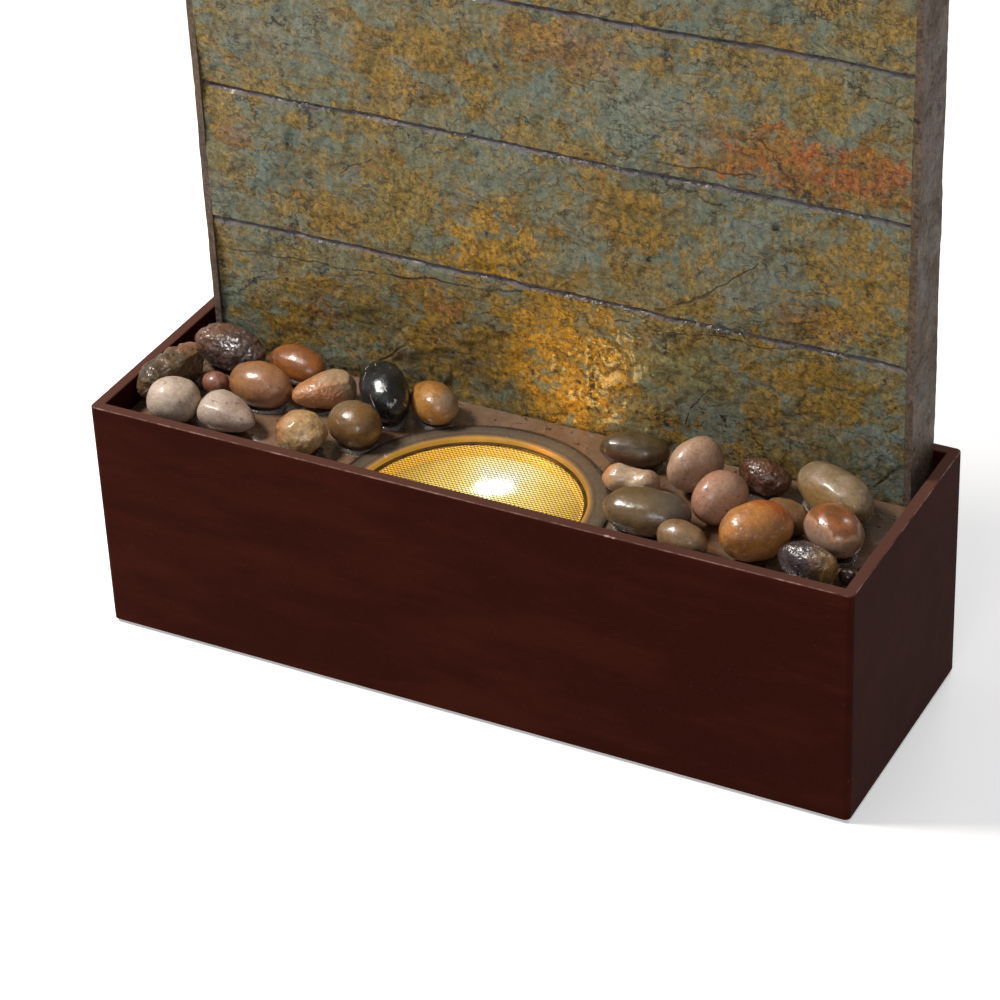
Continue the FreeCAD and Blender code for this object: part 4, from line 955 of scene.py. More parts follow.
@dataclass
class Pebble:
    """One pebble, in millimetres and degrees, that rests on the deck.

    Attributes:
        name: its CAD node, or its own name where it fills a gap.
        length, breadth, height: its size.
        turn, tilt: how its long axis is turned from the tub's and tilted.
        look: what it is made of.
        spot: its place across and along the deck, where it fills a gap.
        taper, waist, square: how far it narrows to one end, at its middle and to a block.
        lump, lump_size: depth and size of its lumps.
        grit: depth of its fine skin.
        rough: whether it is broken stone in place of a tumbled one.
    """

    name: str
    length: float
    breadth: float
    height: float
    turn: float
    look: RiverStone
    spot: tuple[float, float] | None = None
    taper: float = 0.0
    waist: float = 1.0
    square: float = 0.05
    lump: float = 2.6
    lump_size: float = 17.0
    grit: float = 0.12
    tilt: float = 0.0
    rough: bool = False

    def build(self) -> bpy.types.Object:
        """Tumbles a ball into the pebble's shape and returns it, dressed."""
        bpy.ops.mesh.primitive_ico_sphere_add(subdivisions=6 if self.rough else 5, radius=0.5)
        stone = bpy.context.object
        stone.name = self.name + "_stone"
        pick(stone, lambda co: True)
        bpy.ops.transform.resize(value=(self.length * MM, self.breadth * MM, self.height * MM))
        leave()
        if self.waist != 1.0:
            self.draw_in(stone)
        modify(stone, "CAST", cast_type="CUBOID", factor=self.square)
        if self.taper:
            modify(stone, "SIMPLE_DEFORM", deform_method="TAPER", deform_axis="X", factor=self.taper)
        stone.rotation_euler = (0.0, math.radians(self.tilt), math.radians(self.turn))
        centre = self.centre()
        stone.location = centre
        settle(stone)
        modify(stone, "DISPLACE", texture=cloud(self.lump_size, 2), strength=self.lump * MM)
        modify(stone, "DISPLACE", texture=cloud(2.6, 4, hard=self.rough), strength=self.grit * MM)
        lowest = min(v.co.z for v in stone.data.vertices)
        stone.location = (0.0, 0.0, DECK_TOP - lowest)
        settle(stone)
        bpy.ops.object.shade_smooth()
        half = Vector((self.length, self.breadth, self.height)) * (MM / 2.0)
        dress(stone, self.look.material(self.name + "_wet", centre, half, math.radians(self.turn)))
        return stone

    def centre(self) -> Vector:
        """Returns the middle of the pebble: its own spot, or the middle of its CAD solid."""
        if self.spot:
            return Vector((self.spot[0] * MM, self.spot[1] * MM, DECK_TOP + self.height * MM / 2.0))
        low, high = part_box(self.name)
        return (low + high) / 2.0

    def draw_in(self, stone: bpy.types.Object) -> None:
        """Draws the pebble in at its middle, as in a peanut."""
        ring = 0.04 * self.length * MM
        pick(stone, lambda co: abs(co.x) < ring)
        bpy.ops.transform.resize(
            value=(1.0, self.waist, self.waist), center_override=(0.0, 0.0, 0.0),
            use_proportional_edit=True, proportional_edit_falloff="SMOOTH",
            proportional_size=0.30 * self.length * MM,
        )
        leave()


def pebble_list() -> list[Pebble]:
    """Returns the large pebbles, each over the CAD node that it is named for."""
    return [
        Pebble("pebble_rough_brown", 43, 20, 22, 80, rough=True, lump=5.0, lump_size=9, grit=1.1, square=0.2,
               look=RiverStone("#5f4a30", "#443322", "#1c150f", "#94603c", (0.9, 0.3, 0.5), 0.75, 6,
                               roughness=0.4, pitting=0.9)),
        Pebble("pebble_dark_lumpy", 41, 22, 21, -8, rough=True, lump=4.6, lump_size=9, grit=0.9, square=0.15,
               look=RiverStone("#54403a", "#36282a", "#1d1513", "#6e4d38", (-1, 0.2, 0.3), 0.2, 5,
                               roughness=0.24, pitting=0.9)),
        Pebble("pebble_beige_round", 27, 24, 24, 20, lump=1.8,
               look=RiverStone("#b8a594", "#a5907d", "#6a5444", grain_mm=9, roughness=0.45, film=0.22)),
        Pebble("pebble_beige_flat", 32, 21, 17, -10, taper=-0.8, square=0.12, lump=1.6,
               look=RiverStone("#a08b7c", "#8a7364", "#5c4636", "#b5a393", (-1, 0, 0.4), 0.4, 8,
                               roughness=0.42, film=0.26)),
        Pebble("pebble_tan_egg", 34, 22, 22, -4, lump=2.4,
               look=RiverStone("#9a6c3f", "#7f5430", "#5a3618", "#93664a", (0.6, -0.5, 0.2), 0.4, 7)),
        Pebble("pebble_orange_egg", 34, 20, 20, -12, lump=1.6,
               look=RiverStone("#935a2a", "#754420", "#4a2814", grain_mm=9, roughness=0.24)),
        Pebble("pebble_cream_round", 25, 23, 21, 0, lump=2.8, lump_size=9, grit=0.4,
               look=RiverStone("#a67f52", "#b8976a", "#5c3f24", "#96592c", (-1, -0.1, 0.1), 0.5, 5,
                               pitting=0.7)),
        Pebble("pebble_olive_egg", 29, 24, 23, -16, lump=1.4,
               look=RiverStone("#765631", "#5d4326", "#3d2a18", "#746652", (-0.9, 0.1, 0.5), 0.55, 10,
                               roughness=0.26)),
        Pebble("pebble_black_veined", 41, 24, 26, -48, lump=3.4, square=0.08, grit=0.3,
               look=RiverStone("#0e1113", "#1a1e21", "#060707", grain_mm=8, marking=Marking.VEINED,
                               roughness=0.24, film=0.5, pitting=0.6)),
        Pebble("pebble_grey_patch", 30, 21, 20, -32, lump=1.8,
               look=RiverStone("#a7763c", "#8f5d28", "#6a3f1a", "#837664", (0.9, 0.5, 0.3), 0.62, 8,
                               roughness=0.24)),
        Pebble("pebble_streaky_brown", 35, 18, 16, 8, lump=2.2, square=0.08,
               look=RiverStone("#3f301b", "#54432a", "#241a10", "#5a3424", (-0.4, -0.7, -0.6), 0.5, 4,
                               marking=Marking.BANDED, roughness=0.3)),
        Pebble("pebble_speckled_peanut", 29, 16, 16, 8, waist=0.74, lump=2.4, lump_size=10,
               look=RiverStone("#b89d82", "#a38468", "#84492a", "#b97c46", (-1, 0, 0), 0.5, 4,
                               roughness=0.34)),
        Pebble("pebble_pink_upright", 30, 21, 28, 60, taper=0.4, lump=1.8, square=0.04,
               look=RiverStone("#b08d74", "#9a775e", "#4e3226", grain_mm=6, film=0.3)),
        Pebble("pebble_olive_large", 43, 26, 21, 8, lump=2.2, square=0.08,
               look=RiverStone("#6b5539", "#56432d", "#3d2c1e", "#5c5246", (1, 0, 0.4), 0.5, 12,
                               roughness=0.32)),
        Pebble("pebble_pink_tilted", 30, 21, 27, 62, lump=1.4, tilt=14, square=0.02,
               look=RiverStone("#b5856c", "#a0705a", "#6a4232", "#bd967c", (0, -1, 0.4), 0.45, 9,
                               roughness=0.28)),
        Pebble("pebble_orange_large", 35, 26, 28, 45, lump=2.8, square=0.08,
               look=RiverStone("#b5783c", "#9c6433", "#cbb292", "#b4551e", (0.7, 0.4, 0.6), 0.55, 5,
                               roughness=0.28)),
        Pebble("pebble_banded_grey", 48, 24, 25, -26, taper=0.3, lump=2.6, square=0.06,
               look=RiverStone("#98826a", "#7b6446", "#4e3d2c", "#8a6a36", (0.2, -0.6, -0.2), 0.45, 7,
                               marking=Marking.BANDED)),
        Pebble("pebble_agate", 32, 25, 24, -30, lump=1.6, square=0.02,
               look=RiverStone("#9c7c66", "#8d654c", "#5e3e2c", grain_mm=9, marking=Marking.AGATE,
                               roughness=0.22)),
    ]


def filler_list() -> list[Pebble]:
    """Returns the small pebbles that fill the gaps, which are one CAD node together."""
    return [
        Pebble("filler_reddish", 15, 12, 12, 0, spot=(-165, -11),
               look=RiverStone("#8f5e4a", "#6f4234", "#42241a", grain_mm=4)),
        Pebble("filler_orange_wedge", 33, 19, 18, 48, spot=(-108, -1), taper=0.7, square=0.16, rough=True,
               grit=0.5,
               look=RiverStone("#b17a50", "#a06438", "#6a4024", "#9c8466", (1, 0.2, 0.4), 0.2, 4,
                               pitting=0.5)),
        Pebble("filler_dome", 26, 17, 20, -6, spot=(111, -51), square=0.06,
               look=RiverStone("#8a6c4c", "#755839", "#463223", grain_mm=5)),
        Pebble("filler_red_rough", 28, 16, 18, -8, spot=(123, 16), rough=True, lump=3.0, lump_size=8,
               grit=0.6,
               look=RiverStone("#4c2e20", "#5f3c28", "#20120c", grain_mm=4, roughness=0.24, pitting=0.9)),
        Pebble("filler_tan", 24, 16, 18, 0, spot=(146, -11),
               look=RiverStone("#80603a", "#704a2a", "#40281a", grain_mm=5)),
        Pebble("filler_violet", 30, 16, 20, -8, spot=(171, -44), rough=True, lump=2.4, lump_size=9, grit=0.5,
               look=RiverStone("#4c3f3e", "#362c30", "#221a1a", "#8a6534", (1, 0, 0.2), 0.45, 4,
                               marking=Marking.BANDED, roughness=0.2, pitting=0.9)),
        Pebble("filler_corner", 9, 8, 8, 0, spot=(188, -38),
               look=RiverStone("#3a2620", "#4a3028", "#221512", grain_mm=3, roughness=0.16)),
    ]


# ---------------------------------------------------------------- port and water


@dataclass
class PortScreen:
    """The woven wire screen that lies on the port's ledge, in millimetres."""

    pitch: float = 1.6
    wire: float = 0.34
    rim: float = 1.8

    def build(self) -> bpy.types.Object:
        """Weaves the mesh, cuts it to the port's shape, rims it and returns it."""
        low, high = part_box("port_screen")
        radius = (high.x - low.x) / 2.0
        front = low.y
        middle = Vector(((low.x + high.x) / 2.0, high.y - radius, (low.z + high.z) / 2.0))
        count = round(2.0 * radius / (self.pitch * MM))
        bpy.ops.mesh.primitive_grid_add(x_subdivisions=count, y_subdivisions=count, size=2.0 * radius)
        screen = bpy.context.object
        screen.name = "port_screen_mesh"
        screen.rotation_euler = (0.0, 0.0, math.radians(41.0))
        screen.location = middle
        settle(screen)
        inner = radius - 0.5 * self.rim * MM
        pick(screen, lambda co: (co - middle).length > inner or co.y < front + 0.5 * self.rim * MM)
        bpy.ops.mesh.delete(type="VERT")
        leave()
        modify(screen, "WIREFRAME", thickness=self.wire * MM, use_even_offset=False, use_boundary=True)
        rim = self.rim_band(middle, radius, front)
        only(screen)
        rim.select_set(True)
        bpy.ops.object.join()
        bpy.ops.object.shade_smooth_by_angle(angle=math.radians(50))
        dress(screen, lamp_tinted_wire())
        hand_over(screen, "screen", "screen_wire", "port_screen")
        return screen

    def rim_band(self, middle: Vector, radius: float, front: float) -> bpy.types.Object:
        """Makes the folded rim that holds the wires' ends, and returns it."""
        bpy.ops.mesh.primitive_cylinder_add(vertices=128, radius=radius, depth=1.0 * MM, location=middle)
        band = bpy.context.object
        settle(band)
        pick(band, lambda co: True)
        bpy.ops.mesh.bisect(
            plane_co=(0.0, front, 0.0), plane_no=(0.0, 1.0, 0.0), use_fill=True, clear_inner=True,
        )
        leave()
        half = 0.4 * MM
        only(band)
        bpy.ops.object.mode_set(mode="EDIT")
        bpy.ops.mesh.select_mode(type="FACE")
        leave()
        for face in band.data.polygons:
            face.select = abs(face.normal.z) > 0.9 and abs(face.center.z - middle.z) > half
        bpy.ops.object.mode_set(mode="EDIT")
        bpy.ops.mesh.inset(thickness=self.rim * MM, use_individual=True)
        bpy.ops.mesh.bridge_edge_loops()
        bpy.ops.mesh.select_all(action="SELECT")
        bpy.ops.mesh.normals_make_consistent(inside=False)
        leave()
        modify(band, "BEVEL", width=0.25 * MM, segments=2, limit_method="ANGLE")
        return band


@dataclass
class PortWater:
    """The lit surface of the water under the screen, in millimetres."""

    under_collar: float = 0.7
    radius: float = 60.0
    front: float = -61.2
    ripple: float = 0.5

    def build(self) -> bpy.types.Object:
        """Ripples a round sheet of water with some depth and returns it."""
        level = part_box("port_ring")[0].z - self.under_collar * MM
        bpy.ops.mesh.primitive_grid_add(x_subdivisions=90, y_subdivisions=90, size=2.0 * self.radius * MM)
        water = bpy.context.object
        water.name = "port_water"
        water.location = (PORT.x, PORT.y, level)
        settle(water)
        pick(water, lambda co: (co.xy - PORT).length > self.radius * MM or co.y < self.front * MM)
        bpy.ops.mesh.delete(type="VERT")
        leave()
        modify(water, "DISPLACE", texture=cloud(12, 2), direction="Z", strength=self.ripple * MM)
        modify(water, "SOLIDIFY", thickness=0.6 * MM, offset=-1.0)
        bpy.ops.object.shade_smooth_by_angle(angle=math.radians(60))
        dress(water, LitWater().material())
        hand_over(water, "root", "lens")
        return water


@dataclass
class Meniscus:
    """The water that climbs the foot of each stone in a wet patch.

    Attributes:
        swell: height of the water, in millimetres.
        reach: size of a ring as a share of its stone's.
        bulge: half of a ring's thickness as a share of its length.
        stones: the stones that stand in water.
    """

    swell: float = 1.5
    reach: float = 0.74
    bulge: float = 0.06
    stones: tuple[str, ...] = (
        "pebble_grey_patch", "pebble_olive_egg", "pebble_cream_round", "pebble_black_veined",
        "filler_orange_wedge", "pebble_speckled_peanut", "pebble_olive_large", "pebble_agate",
        "pebble_banded_grey", "pebble_tan_egg",
    )

    def build(self, pebbles: list[Pebble]) -> bpy.types.Object:
        """Lays one uneven ring of water round the foot of each wet stone.

        Args:
            pebbles: the pebbles on the deck.

        Returns:
            The joined rings.
        """
        rings = [self.ring(pebble) for pebble in pebbles if pebble.name in self.stones]
        only(rings[0])
        for ring in rings:
            ring.select_set(True)
        bpy.ops.object.join()
        water = bpy.context.object
        water.name = "water_menisci"
        modify(water, "DISPLACE", texture=cloud(9, 2), strength=0.5 * MM, mid_level=0.55)
        bpy.ops.object.shade_smooth()
        dress(water, clear_water())
        hand_over(water, "root", "lens")
        return water

    def ring(self, pebble: Pebble) -> bpy.types.Object:
        """Flattens one ring of water to a pebble's outline and returns it."""
        bpy.ops.mesh.primitive_torus_add(
            major_segments=72, minor_segments=10, major_radius=0.5, minor_radius=self.bulge,
        )
        ring = bpy.context.object
        pick(ring, lambda co: co.z < 0.0)
        bpy.ops.transform.resize(value=(1.0, 1.0, 0.2), center_override=(0.0, 0.0, 0.0))
        leave()
        length, breadth = (size * self.reach * MM for size in (pebble.length, pebble.breadth))
        ring.scale = (length, breadth, self.swell * MM / self.bulge)
        ring.rotation_euler = (0.0, 0.0, math.radians(pebble.turn))
        centre = pebble.centre()
        ring.location = (centre.x, centre.y, DECK_TOP + 0.15 * MM)
        settle(ring)
        return ring


@dataclass
class WaterBeads:
    """Beads of water at the stones' feet and along the joints of the wall, in millimetres."""

    seed: int = 7
    each: int = 9
    along_joint: int = 70
    clusters: tuple[float, ...] = (-130, -118, -84, -34, 8, 26, 45, 82, 96, 150)
    spots: list[tuple[Vector, float]] = field(default_factory=list)

    def gather(self, stones: list[Pebble]) -> None:
        """Chooses where the beads lie.

        Args:
            stones: the pebbles, whose feet the water clings to.
        """
        chance = random.Random(self.seed)
        for stone in stones:
            centre = stone.centre()
            for _ in range(self.each):
                angle = chance.uniform(0.0, 2.0 * math.pi)
                reach = Vector((math.cos(angle) * stone.length, math.sin(angle) * stone.breadth)) * 0.40 * MM
                reach.rotate(Matrix.Rotation(math.radians(stone.turn), 2))
                self.spots.append((Vector((centre.x + reach.x, centre.y + reach.y, DECK_TOP)),
                                   chance.uniform(0.5, 1.1)))
        for course in ("slate_course_1", "slate_course_2"):
            low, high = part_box(course)
            for _ in range(self.along_joint):
                x = (chance.choice(self.clusters) + chance.gauss(0.0, 7.0)) * MM
                if low.x < x < high.x:
                    self.spots.append((Vector((x, low.y + chance.uniform(0.2, 0.9) * MM,
                                               high.z - chance.uniform(0.2, 1.6) * MM)),
                                       chance.uniform(0.35, 0.8)))

    def build(self) -> bpy.types.Object:
        """Makes one bead, copies it to every spot and returns the joined beads."""
        bpy.ops.mesh.primitive_uv_sphere_add(segments=14, ring_count=9, radius=1.0 * MM)
        bead = bpy.context.object
        pick(bead, lambda co: co.z < 0.0)
        bpy.ops.transform.resize(value=(1.15, 1.15, 0.35), center_override=(0.0, 0.0, 0.0))
        leave()
        copies = []
        for place, radius in self.spots:
            only(bead)
            bpy.ops.object.duplicate()
            copy = bpy.context.object
            copy.scale = (radius, radius * 1.1, radius * 0.8)
            copy.location = place
            copies.append(copy)
        only(bead)
        bpy.ops.object.delete()
        only(copies[0])
        for copy in copies:
            copy.select_set(True)
        bpy.context.view_layer.objects.active = copies[0]
        bpy.ops.object.transform_apply(location=True, rotation=True, scale=True)
        bpy.ops.object.join()
        beads = bpy.context.object
        beads.name = "water_beads"
        bpy.ops.object.shade_smooth()
        dress(beads, clear_water())
        hand_over(beads, "root", "lens")
        return beads


# ---------------------------------------------------------------- sub-assemblies


@dataclass
class SlateWall:
    """The five riven courses, the two side slates and the cap."""

    courses: int = 5

    def build(self) -> None:
        """Builds every tile of the wall."""
        courses = self.finishes()
        for number in range(1, self.courses + 1):
            SlateTile(f"slate_course_{number}", Facing.FRONT, courses[number - 1]).build()
        side = SplitSlate("side_slate_grey", grey="#665649", blue="#6a5c52", ochre="#6d5945", olive="#574b42",
                          rust="#6e4c3c", ochre_share=0.5, step=0.1, wet=0.0).material()
        for name, facing in (("side_slate_left", Facing.LEFT), ("side_slate_right", Facing.RIGHT)):
            SlateTile(name, facing, side, cell=1.6, ledge=0.5, roughness=0.4, chamfer=0.4).build()

    def finishes(self) -> list[bpy.types.Material]:
        """Returns the slate of each course from the bottom up."""
        # gold is a real oxide colour on most courses; in the middle of course 1 it is painted lamp glow from
        # the port
        ochre, gold_and_lamp_glow, rust, teal, grey = "#8c6814", "#a67a16", "#8c4d18", "#66766c", "#76786a"
        stains_and_glow = ((
            StainOrGlow(-180, 132, 16, 30, teal, 0.9), StainOrGlow(-140, 130, 30, 24, ochre),
            StainOrGlow(-160, 165, 16, 14, grey),
            StainOrGlow(-124, 152, 14, 22, rust, 0.35), StainOrGlow(-112, 168, 16, 12, grey),
            StainOrGlow(-92, 150, 26, 22, "#75683e"), StainOrGlow(-50, 150, 46, 42, ochre),
            # painted lamp glow: the gold patch at 10 mm across and 150 mm up is the port lamp's light on the
            # slate
            StainOrGlow(-58, 168, 18, 16, rust, 0.4), StainOrGlow(10, 150, 52, 56, gold_and_lamp_glow, 0.9),
            StainOrGlow(70, 160, 34, 22, "#857f52"), StainOrGlow(84, 136, 28, 22, grey, 0.7),
            StainOrGlow(142, 166, 42, 22, ochre, 0.8), StainOrGlow(130, 140, 26, 16, "#86795a"),
            StainOrGlow(176, 140, 20, 30, "#727d76", 0.8),
        ), (
            StainOrGlow(-168, 232, 18, 10, rust, 0.5), StainOrGlow(-146, 222, 24, 26, teal, 0.8),
            StainOrGlow(-120, 205, 20, 20, ochre), StainOrGlow(-84, 222, 34, 34, "#7f6a2c"),
            StainOrGlow(-30, 205, 40, 34, gold_and_lamp_glow, 0.9),
            StainOrGlow(-42, 232, 14, 22, grey, 0.8), StainOrGlow(20, 214, 14, 26, grey, 0.6),
            StainOrGlow(45, 235, 26, 24, ochre),
            StainOrGlow(110, 224, 30, 34, "#6e7871", 0.8), StainOrGlow(160, 225, 38, 44, ochre, 0.85),
            StainOrGlow(140, 200, 26, 14, rust, 0.3),
        ), (
            StainOrGlow(128, 282, 92, 24, "#98520c", 0.95), StainOrGlow(60, 292, 50, 30, "#7d8270", 0.8),
            StainOrGlow(-60, 300, 60, 30, ochre), StainOrGlow(-140, 300, 50, 34, grey, 0.7),
            StainOrGlow(20, 320, 50, 20, rust, 0.4),
        ), (
            StainOrGlow(-90, 380, 70, 30, ochre), StainOrGlow(70, 370, 60, 34, grey, 0.7),
            StainOrGlow(10, 395, 50, 20, ochre, 0.6),
        ), (
            StainOrGlow(130, 440, 60, 40, rust, 0.5), StainOrGlow(-40, 450, 70, 34, gold_and_lamp_glow, 0.7),
            StainOrGlow(-140, 470, 40, 30, teal, 0.6),
        ))
        fissures = ((
            Fissure((-184, 171), (-100, 175)), Fissure((-100, 175), (-12, 183), 0.5),
            Fissure((40, 180), (150, 184), 0.3),
            Fissure((-96, 124), (-80, 138), 0.7), Fissure((172, 118), (182, 130), 0.9),
            Fissure((72, 130), (86, 150)),
        ), (
            Fissure((58, 191), (86, 208), 0.7), Fissure((86, 208), (112, 228), 0.35),
            Fissure((-112, 226), (-96, 238)),
        ), (Fissure((40, 268), (110, 272), 0.5),), (), ())
        return [
            SplitSlate(f"slate_course_{number}_riven", ochre_share=0.75, stains_and_glow=stains_and_glow[number - 1],
                       top=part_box(f"slate_course_{number}")[1].z, fissures=fissures[number - 1]).material()
            for number in range(1, self.courses + 1)
        ]


@dataclass
class CapSlab:
    """The slate slab on top of the wall, chiselled round its edge, in millimetres."""

    wave: float = 1.2

    def build(self) -> None:
        """Cuts the slab from a block with a roughened skin."""
        low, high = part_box("top_cap")
        size = high - low
        bpy.ops.mesh.primitive_cube_add(size=1.0, location=(low + high) / 2.0)
        slab = bpy.context.object
        slab.name = "top_cap_slab"
        slab.scale = size - Vector((1.0, 1.0, 1.0)) * (2.4 * MM)
        settle(slab)
        bottom = low.z + 4.5 * MM
        pick(slab, lambda co: co.z < (low.z + high.z) / 2.0)
        bpy.ops.transform.translate(value=(0.0, 0.0, bottom - low.z - 1.2 * MM))
        leave()
        modify(slab, "BEVEL", width=1.6 * MM, segments=2)
        modify(slab, "REMESH", mode="VOXEL", voxel_size=1.7 * MM)
        modify(slab, "DISPLACE", texture=cloud(30, 5, ledges=LEDGES), strength=self.wave * MM)
        modify(slab, "DISPLACE", texture=cloud(6, 4, hard=True), strength=0.6 * MM)
        for bearer in self.bearers(low, high, bottom):
            only(slab)
            bearer.select_set(True)
            bpy.ops.object.join()
        bpy.ops.object.shade_smooth_by_angle(angle=math.radians(40))
        dress(slab, SplitSlate("cap_slate", ochre_share=0.4).material())
        hand_over(slab, "cap", "cap_slate", "top_cap")

    def bearers(self, low: Vector, high: Vector, bottom: float) -> list[bpy.types.Object]:
        """Splits two small bearers from slate, one at each end under the slab.

        Args:
            low: lowest corner of the slab and its bearers.
            high: their highest corner.
            bottom: height of the slab's underside.

        Returns:
            The bearers.
        """
        size = Vector((6.0 * MM, high.y - low.y - 8.0 * MM, bottom - low.z + 1.0 * MM))
        made = []
        for x in (low.x + 5.0 * MM, high.x - 5.0 * MM):
            place = Vector((x, (low.y + high.y) / 2.0 + 1.0 * MM, low.z + size.z / 2.0))
            bpy.ops.mesh.primitive_cube_add(size=1.0, location=place)
            bearer = bpy.context.object
            bearer.scale = size
            settle(bearer)
            modify(bearer, "BEVEL", width=0.8 * MM, segments=2)
            pick(bearer, lambda co: True)
            bpy.ops.mesh.subdivide(number_cuts=5)
            leave()
            modify(bearer, "DISPLACE", texture=cloud(5, 3), direction="Y", strength=0.8 * MM)
            made.append(bearer)
        return made


@dataclass
class PebbleBed:
    """All the pebbles on the deck and the water between them."""

    def build(self) -> None:
        """Builds the pebbles, the fillers and the beads of water."""
        large, fillers = pebble_list(), filler_list()
        for pebble in large:
            hand_over(pebble.build(), "root", "pebble", pebble.name)
        for pebble in fillers:
            hand_over(pebble.build(), "root", "pebble", "small_pebbles")
        beads = WaterBeads()
        beads.gather(large + fillers)
        beads.build()
        Meniscus().build(large + fillers)


@dataclass
class CastParts:
    """The nodes that keep their CAD shape, by the stock that each is made of."""

    def dress(self) -> None:
        """Gives every kept node its finish."""
        stocks: dict[bpy.types.Material, tuple[str, ...]] = {
            TubLacquer().material(): ("tub",),
            WetResin("deck_resin_wet", "#6a5240", "#7a604c", "#2a1e17", "#704a30").material(): ("rock_deck",),
            WetResin("ring_resin_wet", "#6a5a4e", "#5a4a42", "#3a2c24", "#7a4f30", rings=True).material():
                ("port_ring",),
            # expanded foam: closed cells, matt
            Stock("black_foam", "#141414", "#1e1e1e", 0.9, 0.9, 0.4).material(): ("base_pad",),
            # vacuum-formed styrene
            Stock("black_styrene", "#17181a", "#222326", 0.45).material():
                ("wall_casing", "wall_back_cover", "spill_trough"),
            # injection-moulded ABS of the pump and the lamp
            Stock("black_abs", "#101214", "#1b1d20", 0.38, 0.7).material():
                ("riser_elbow", "pump_housing", "pump_chamber_plate", "pump_intake_cover", "lamp_housing",
                 "lamp_bezel", "lamp_yoke", "lamp_knobs"),
            Stock("grey_abs", "#5c6064", "#6c7074", 0.4, 0.7).material(): ("impeller", "pump_flow_dial"),
            # soft extruded vinyl, clouded by use
            Stock("clouded_vinyl", "#b9c0bd", "#9da7a2", 0.22, 3.0, 0.05, clear=0.35).material():
                ("riser_hose", "pump_hose"),
            Stock(
                "stainless_steel", "#b8b9ba", "#8f9193", 0.28, 0.6, 0.03, metallic=1.0, drawn=True
            ).material():
                ("back_cover_screws", "wall_base_screws", "hose_clips"),
            Stock("fired_ceramic", "#e6e2da", "#d6d1c6", 0.25, 0.5, 0.02).material(): ("impeller_shaft",),
            Stock("black_rubber", "#161616", "#232323", 0.7, 0.8, 0.1).material():
                ("shaft_bushes", "pump_suction_cups", "lamp_gasket", "cord_grommet"),
            Stock("laminated_core_steel", "#6d6e70", "#55504c", 0.4, 0.5, 0.1, metallic=0.9).material():
                ("stator_core",),
            Stock("enamelled_copper", "#a8552a", "#8a4222", 0.3, 0.4, 0.2, metallic=0.9).material():
                ("stator_coil",),
            Stock("white_circuit_board", "#d8dad2", "#c4c8bc", 0.4, 0.8, 0.03).material(): ("lamp_board",),
            Stock("clear_acrylic", "#f4f2ea", "#e8e4d8", 0.06, 4.0, 0.02, clear=0.9).material():
                ("lamp_lens",),
        }
        for material, nodes in stocks.items():
            for name in nodes:
                dress(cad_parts[name], material)
            LOG.info("%s on %s", material.name, ", ".join(nodes))


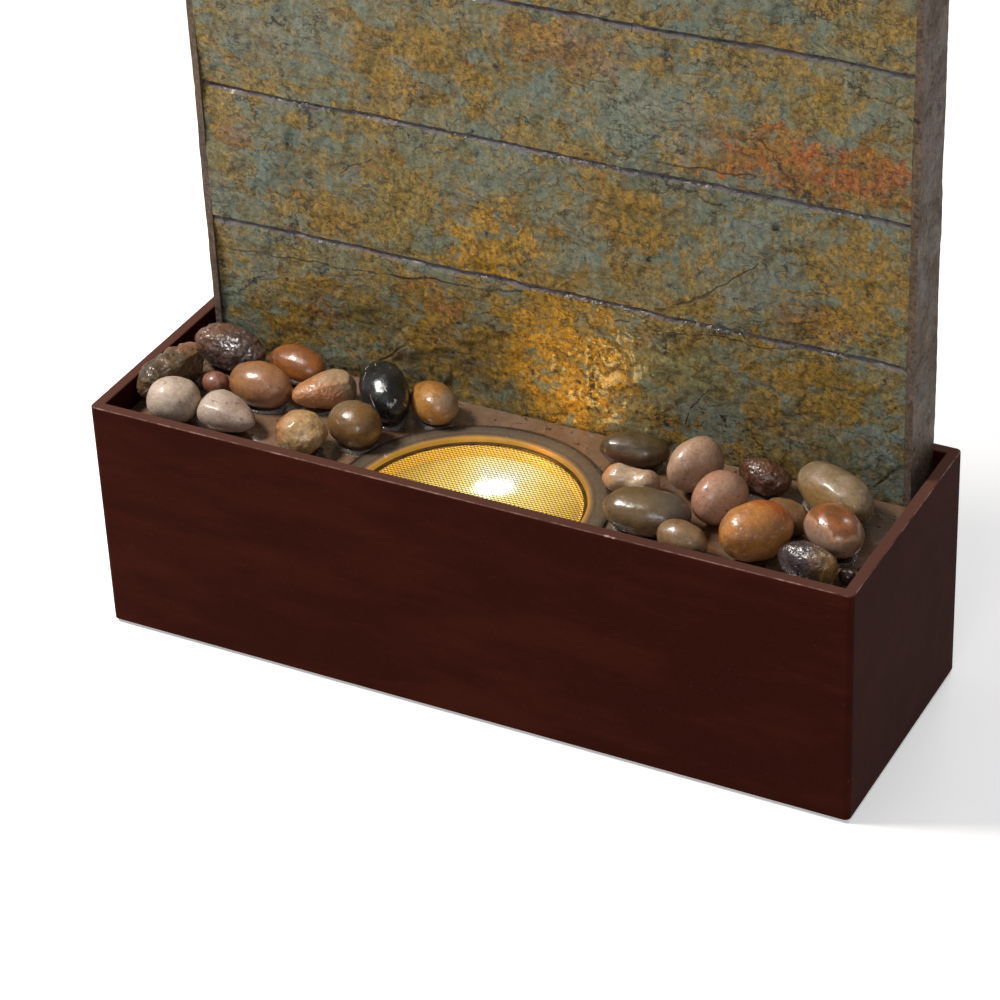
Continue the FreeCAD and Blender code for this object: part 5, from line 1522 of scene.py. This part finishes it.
@dataclass
class Studio:
    """Floor, soft lights and camera, in metres and degrees, with the lens and its film in millimetres."""

    azimuth: float = 28.5964
    elevation: float = 33.0468
    roll: float = -2.5599
    distance: float = 1.7851
    target: tuple[float, float, float] = (-0.0251, 0.0248, 0.0650)
    lens: float = 127.96
    film: float = 36.0
    lamp_from: tuple[float, float, float] = (0.006, -0.014, DECK_TOP + 0.003)
    lamp_towards: tuple[float, float, float] = (0.018, 0.032, 0.140)

    def build(self) -> None:
        """Builds the studio round the fountain."""
        self.floor()
        self.sky()
        middle = Vector((0.0, 0.0, 0.14))
        self.softbox("key", Vector((-0.75, -0.32, 1.20)), middle, (0.34, 0.26), 21.0, "#fffaf2")
        self.softbox("fill", Vector((0.35, -1.30, 0.75)), middle, (0.4, 0.4), 3.0, "#f6f8ff")
        self.softbox("back", Vector((0.25, 0.95, 1.25)), middle, (0.9, 0.35), 8.0, "#ffffff")
        self.port_lamp()
        self.camera()

    def floor(self) -> None:
        """Lays a pale seamless floor."""
        bpy.ops.mesh.primitive_plane_add(size=14.0, location=(0.0, 0.0, -0.0005))
        floor = bpy.context.object
        floor.name = "studio_floor"
        draft = Draft("studio_paper")
        tone = draft.blend(draft.patches(300, 0.3, 0.7), "#f1f1f0", "#ededec")
        draft.set(Base_Color=tone, Roughness=0.9, Emission_Color="#ffffff", Emission_Strength=0.34)
        dress(floor, draft.material)

    def sky(self) -> None:
        """Lights everything evenly with a pale surround."""
        world = bpy.data.worlds.new("surround")
        bpy.context.scene.world = world
        world.use_nodes = True
        surround = world.node_tree.nodes["Background"]
        surround.inputs[0].default_value = linear("#f4f5f7")
        surround.inputs[1].default_value = 0.26
        bpy.context.scene.view_settings.view_transform = "Standard"

    def softbox(
        self, name: str, place: Vector, aim: Vector, size: tuple[float, float], power: float, colour: str
    ) -> None:
        """Hangs one soft light and points it at the fountain."""
        lamp = bpy.data.lights.new(name, "AREA")
        lamp.shape = "RECTANGLE"
        lamp.size, lamp.size_y = size
        lamp.energy = power
        lamp.color = linear(colour)[:3]
        holder = bpy.data.objects.new(name, lamp)
        bpy.context.scene.collection.objects.link(holder)
        holder.location = place
        holder.rotation_euler = (aim - place).to_track_quat("-Z", "Y").to_euler()

    def port_lamp(self) -> None:
        """Throws the lamp's warm beam from the port on to the slate behind it."""
        lamp = bpy.data.lights.new("port_beam", "SPOT")
        lamp.energy = 0.15
        lamp.color = linear("#ffd486")[:3]
        lamp.spot_size = math.radians(95)
        lamp.spot_blend = 0.9
        lamp.shadow_soft_size = 0.008
        holder = bpy.data.objects.new("port_beam", lamp)
        bpy.context.scene.collection.objects.link(holder)
        place = Vector(self.lamp_from)
        holder.location = place
        holder.rotation_euler = (Vector(self.lamp_towards) - place).to_track_quat("-Z", "Y").to_euler()

    def camera(self) -> None:
        """Sets the camera from its bearing, height, roll and distance."""
        bearing, height, roll = (math.radians(a) for a in (self.azimuth, self.elevation, self.roll))
        back = Vector((math.sin(bearing) * math.cos(height), -math.cos(bearing) * math.cos(height),
                       math.sin(height)))
        across = (-back).cross(Vector((0.0, 0.0, 1.0))).normalized()
        upward = across.cross(-back)
        right = across * math.cos(roll) + upward * math.sin(roll)
        top = upward * math.cos(roll) - across * math.sin(roll)
        view = bpy.data.cameras.new("camera")
        view.lens = self.lens
        view.sensor_width = self.film
        view.clip_end = 30.0
        holder = bpy.data.objects.new("camera", view)
        bpy.context.scene.collection.objects.link(holder)
        turned = Matrix((right, top, back)).transposed().to_4x4()
        holder.matrix_world = Matrix.Translation(Vector(self.target) + back * self.distance) @ turned
        bpy.context.scene.camera = holder


def main() -> None:
    """Builds the fountain's sub-assemblies in order, then the studio."""
    logging.basicConfig(level=logging.INFO, format="%(name)s: %(message)s")
    CastParts().dress()
    SlateWall().build()
    CapSlab().build()
    PortWater().build()
    PortScreen().build()
    PebbleBed().build()
    Studio().build()


if __name__ == "__main__":
    main()
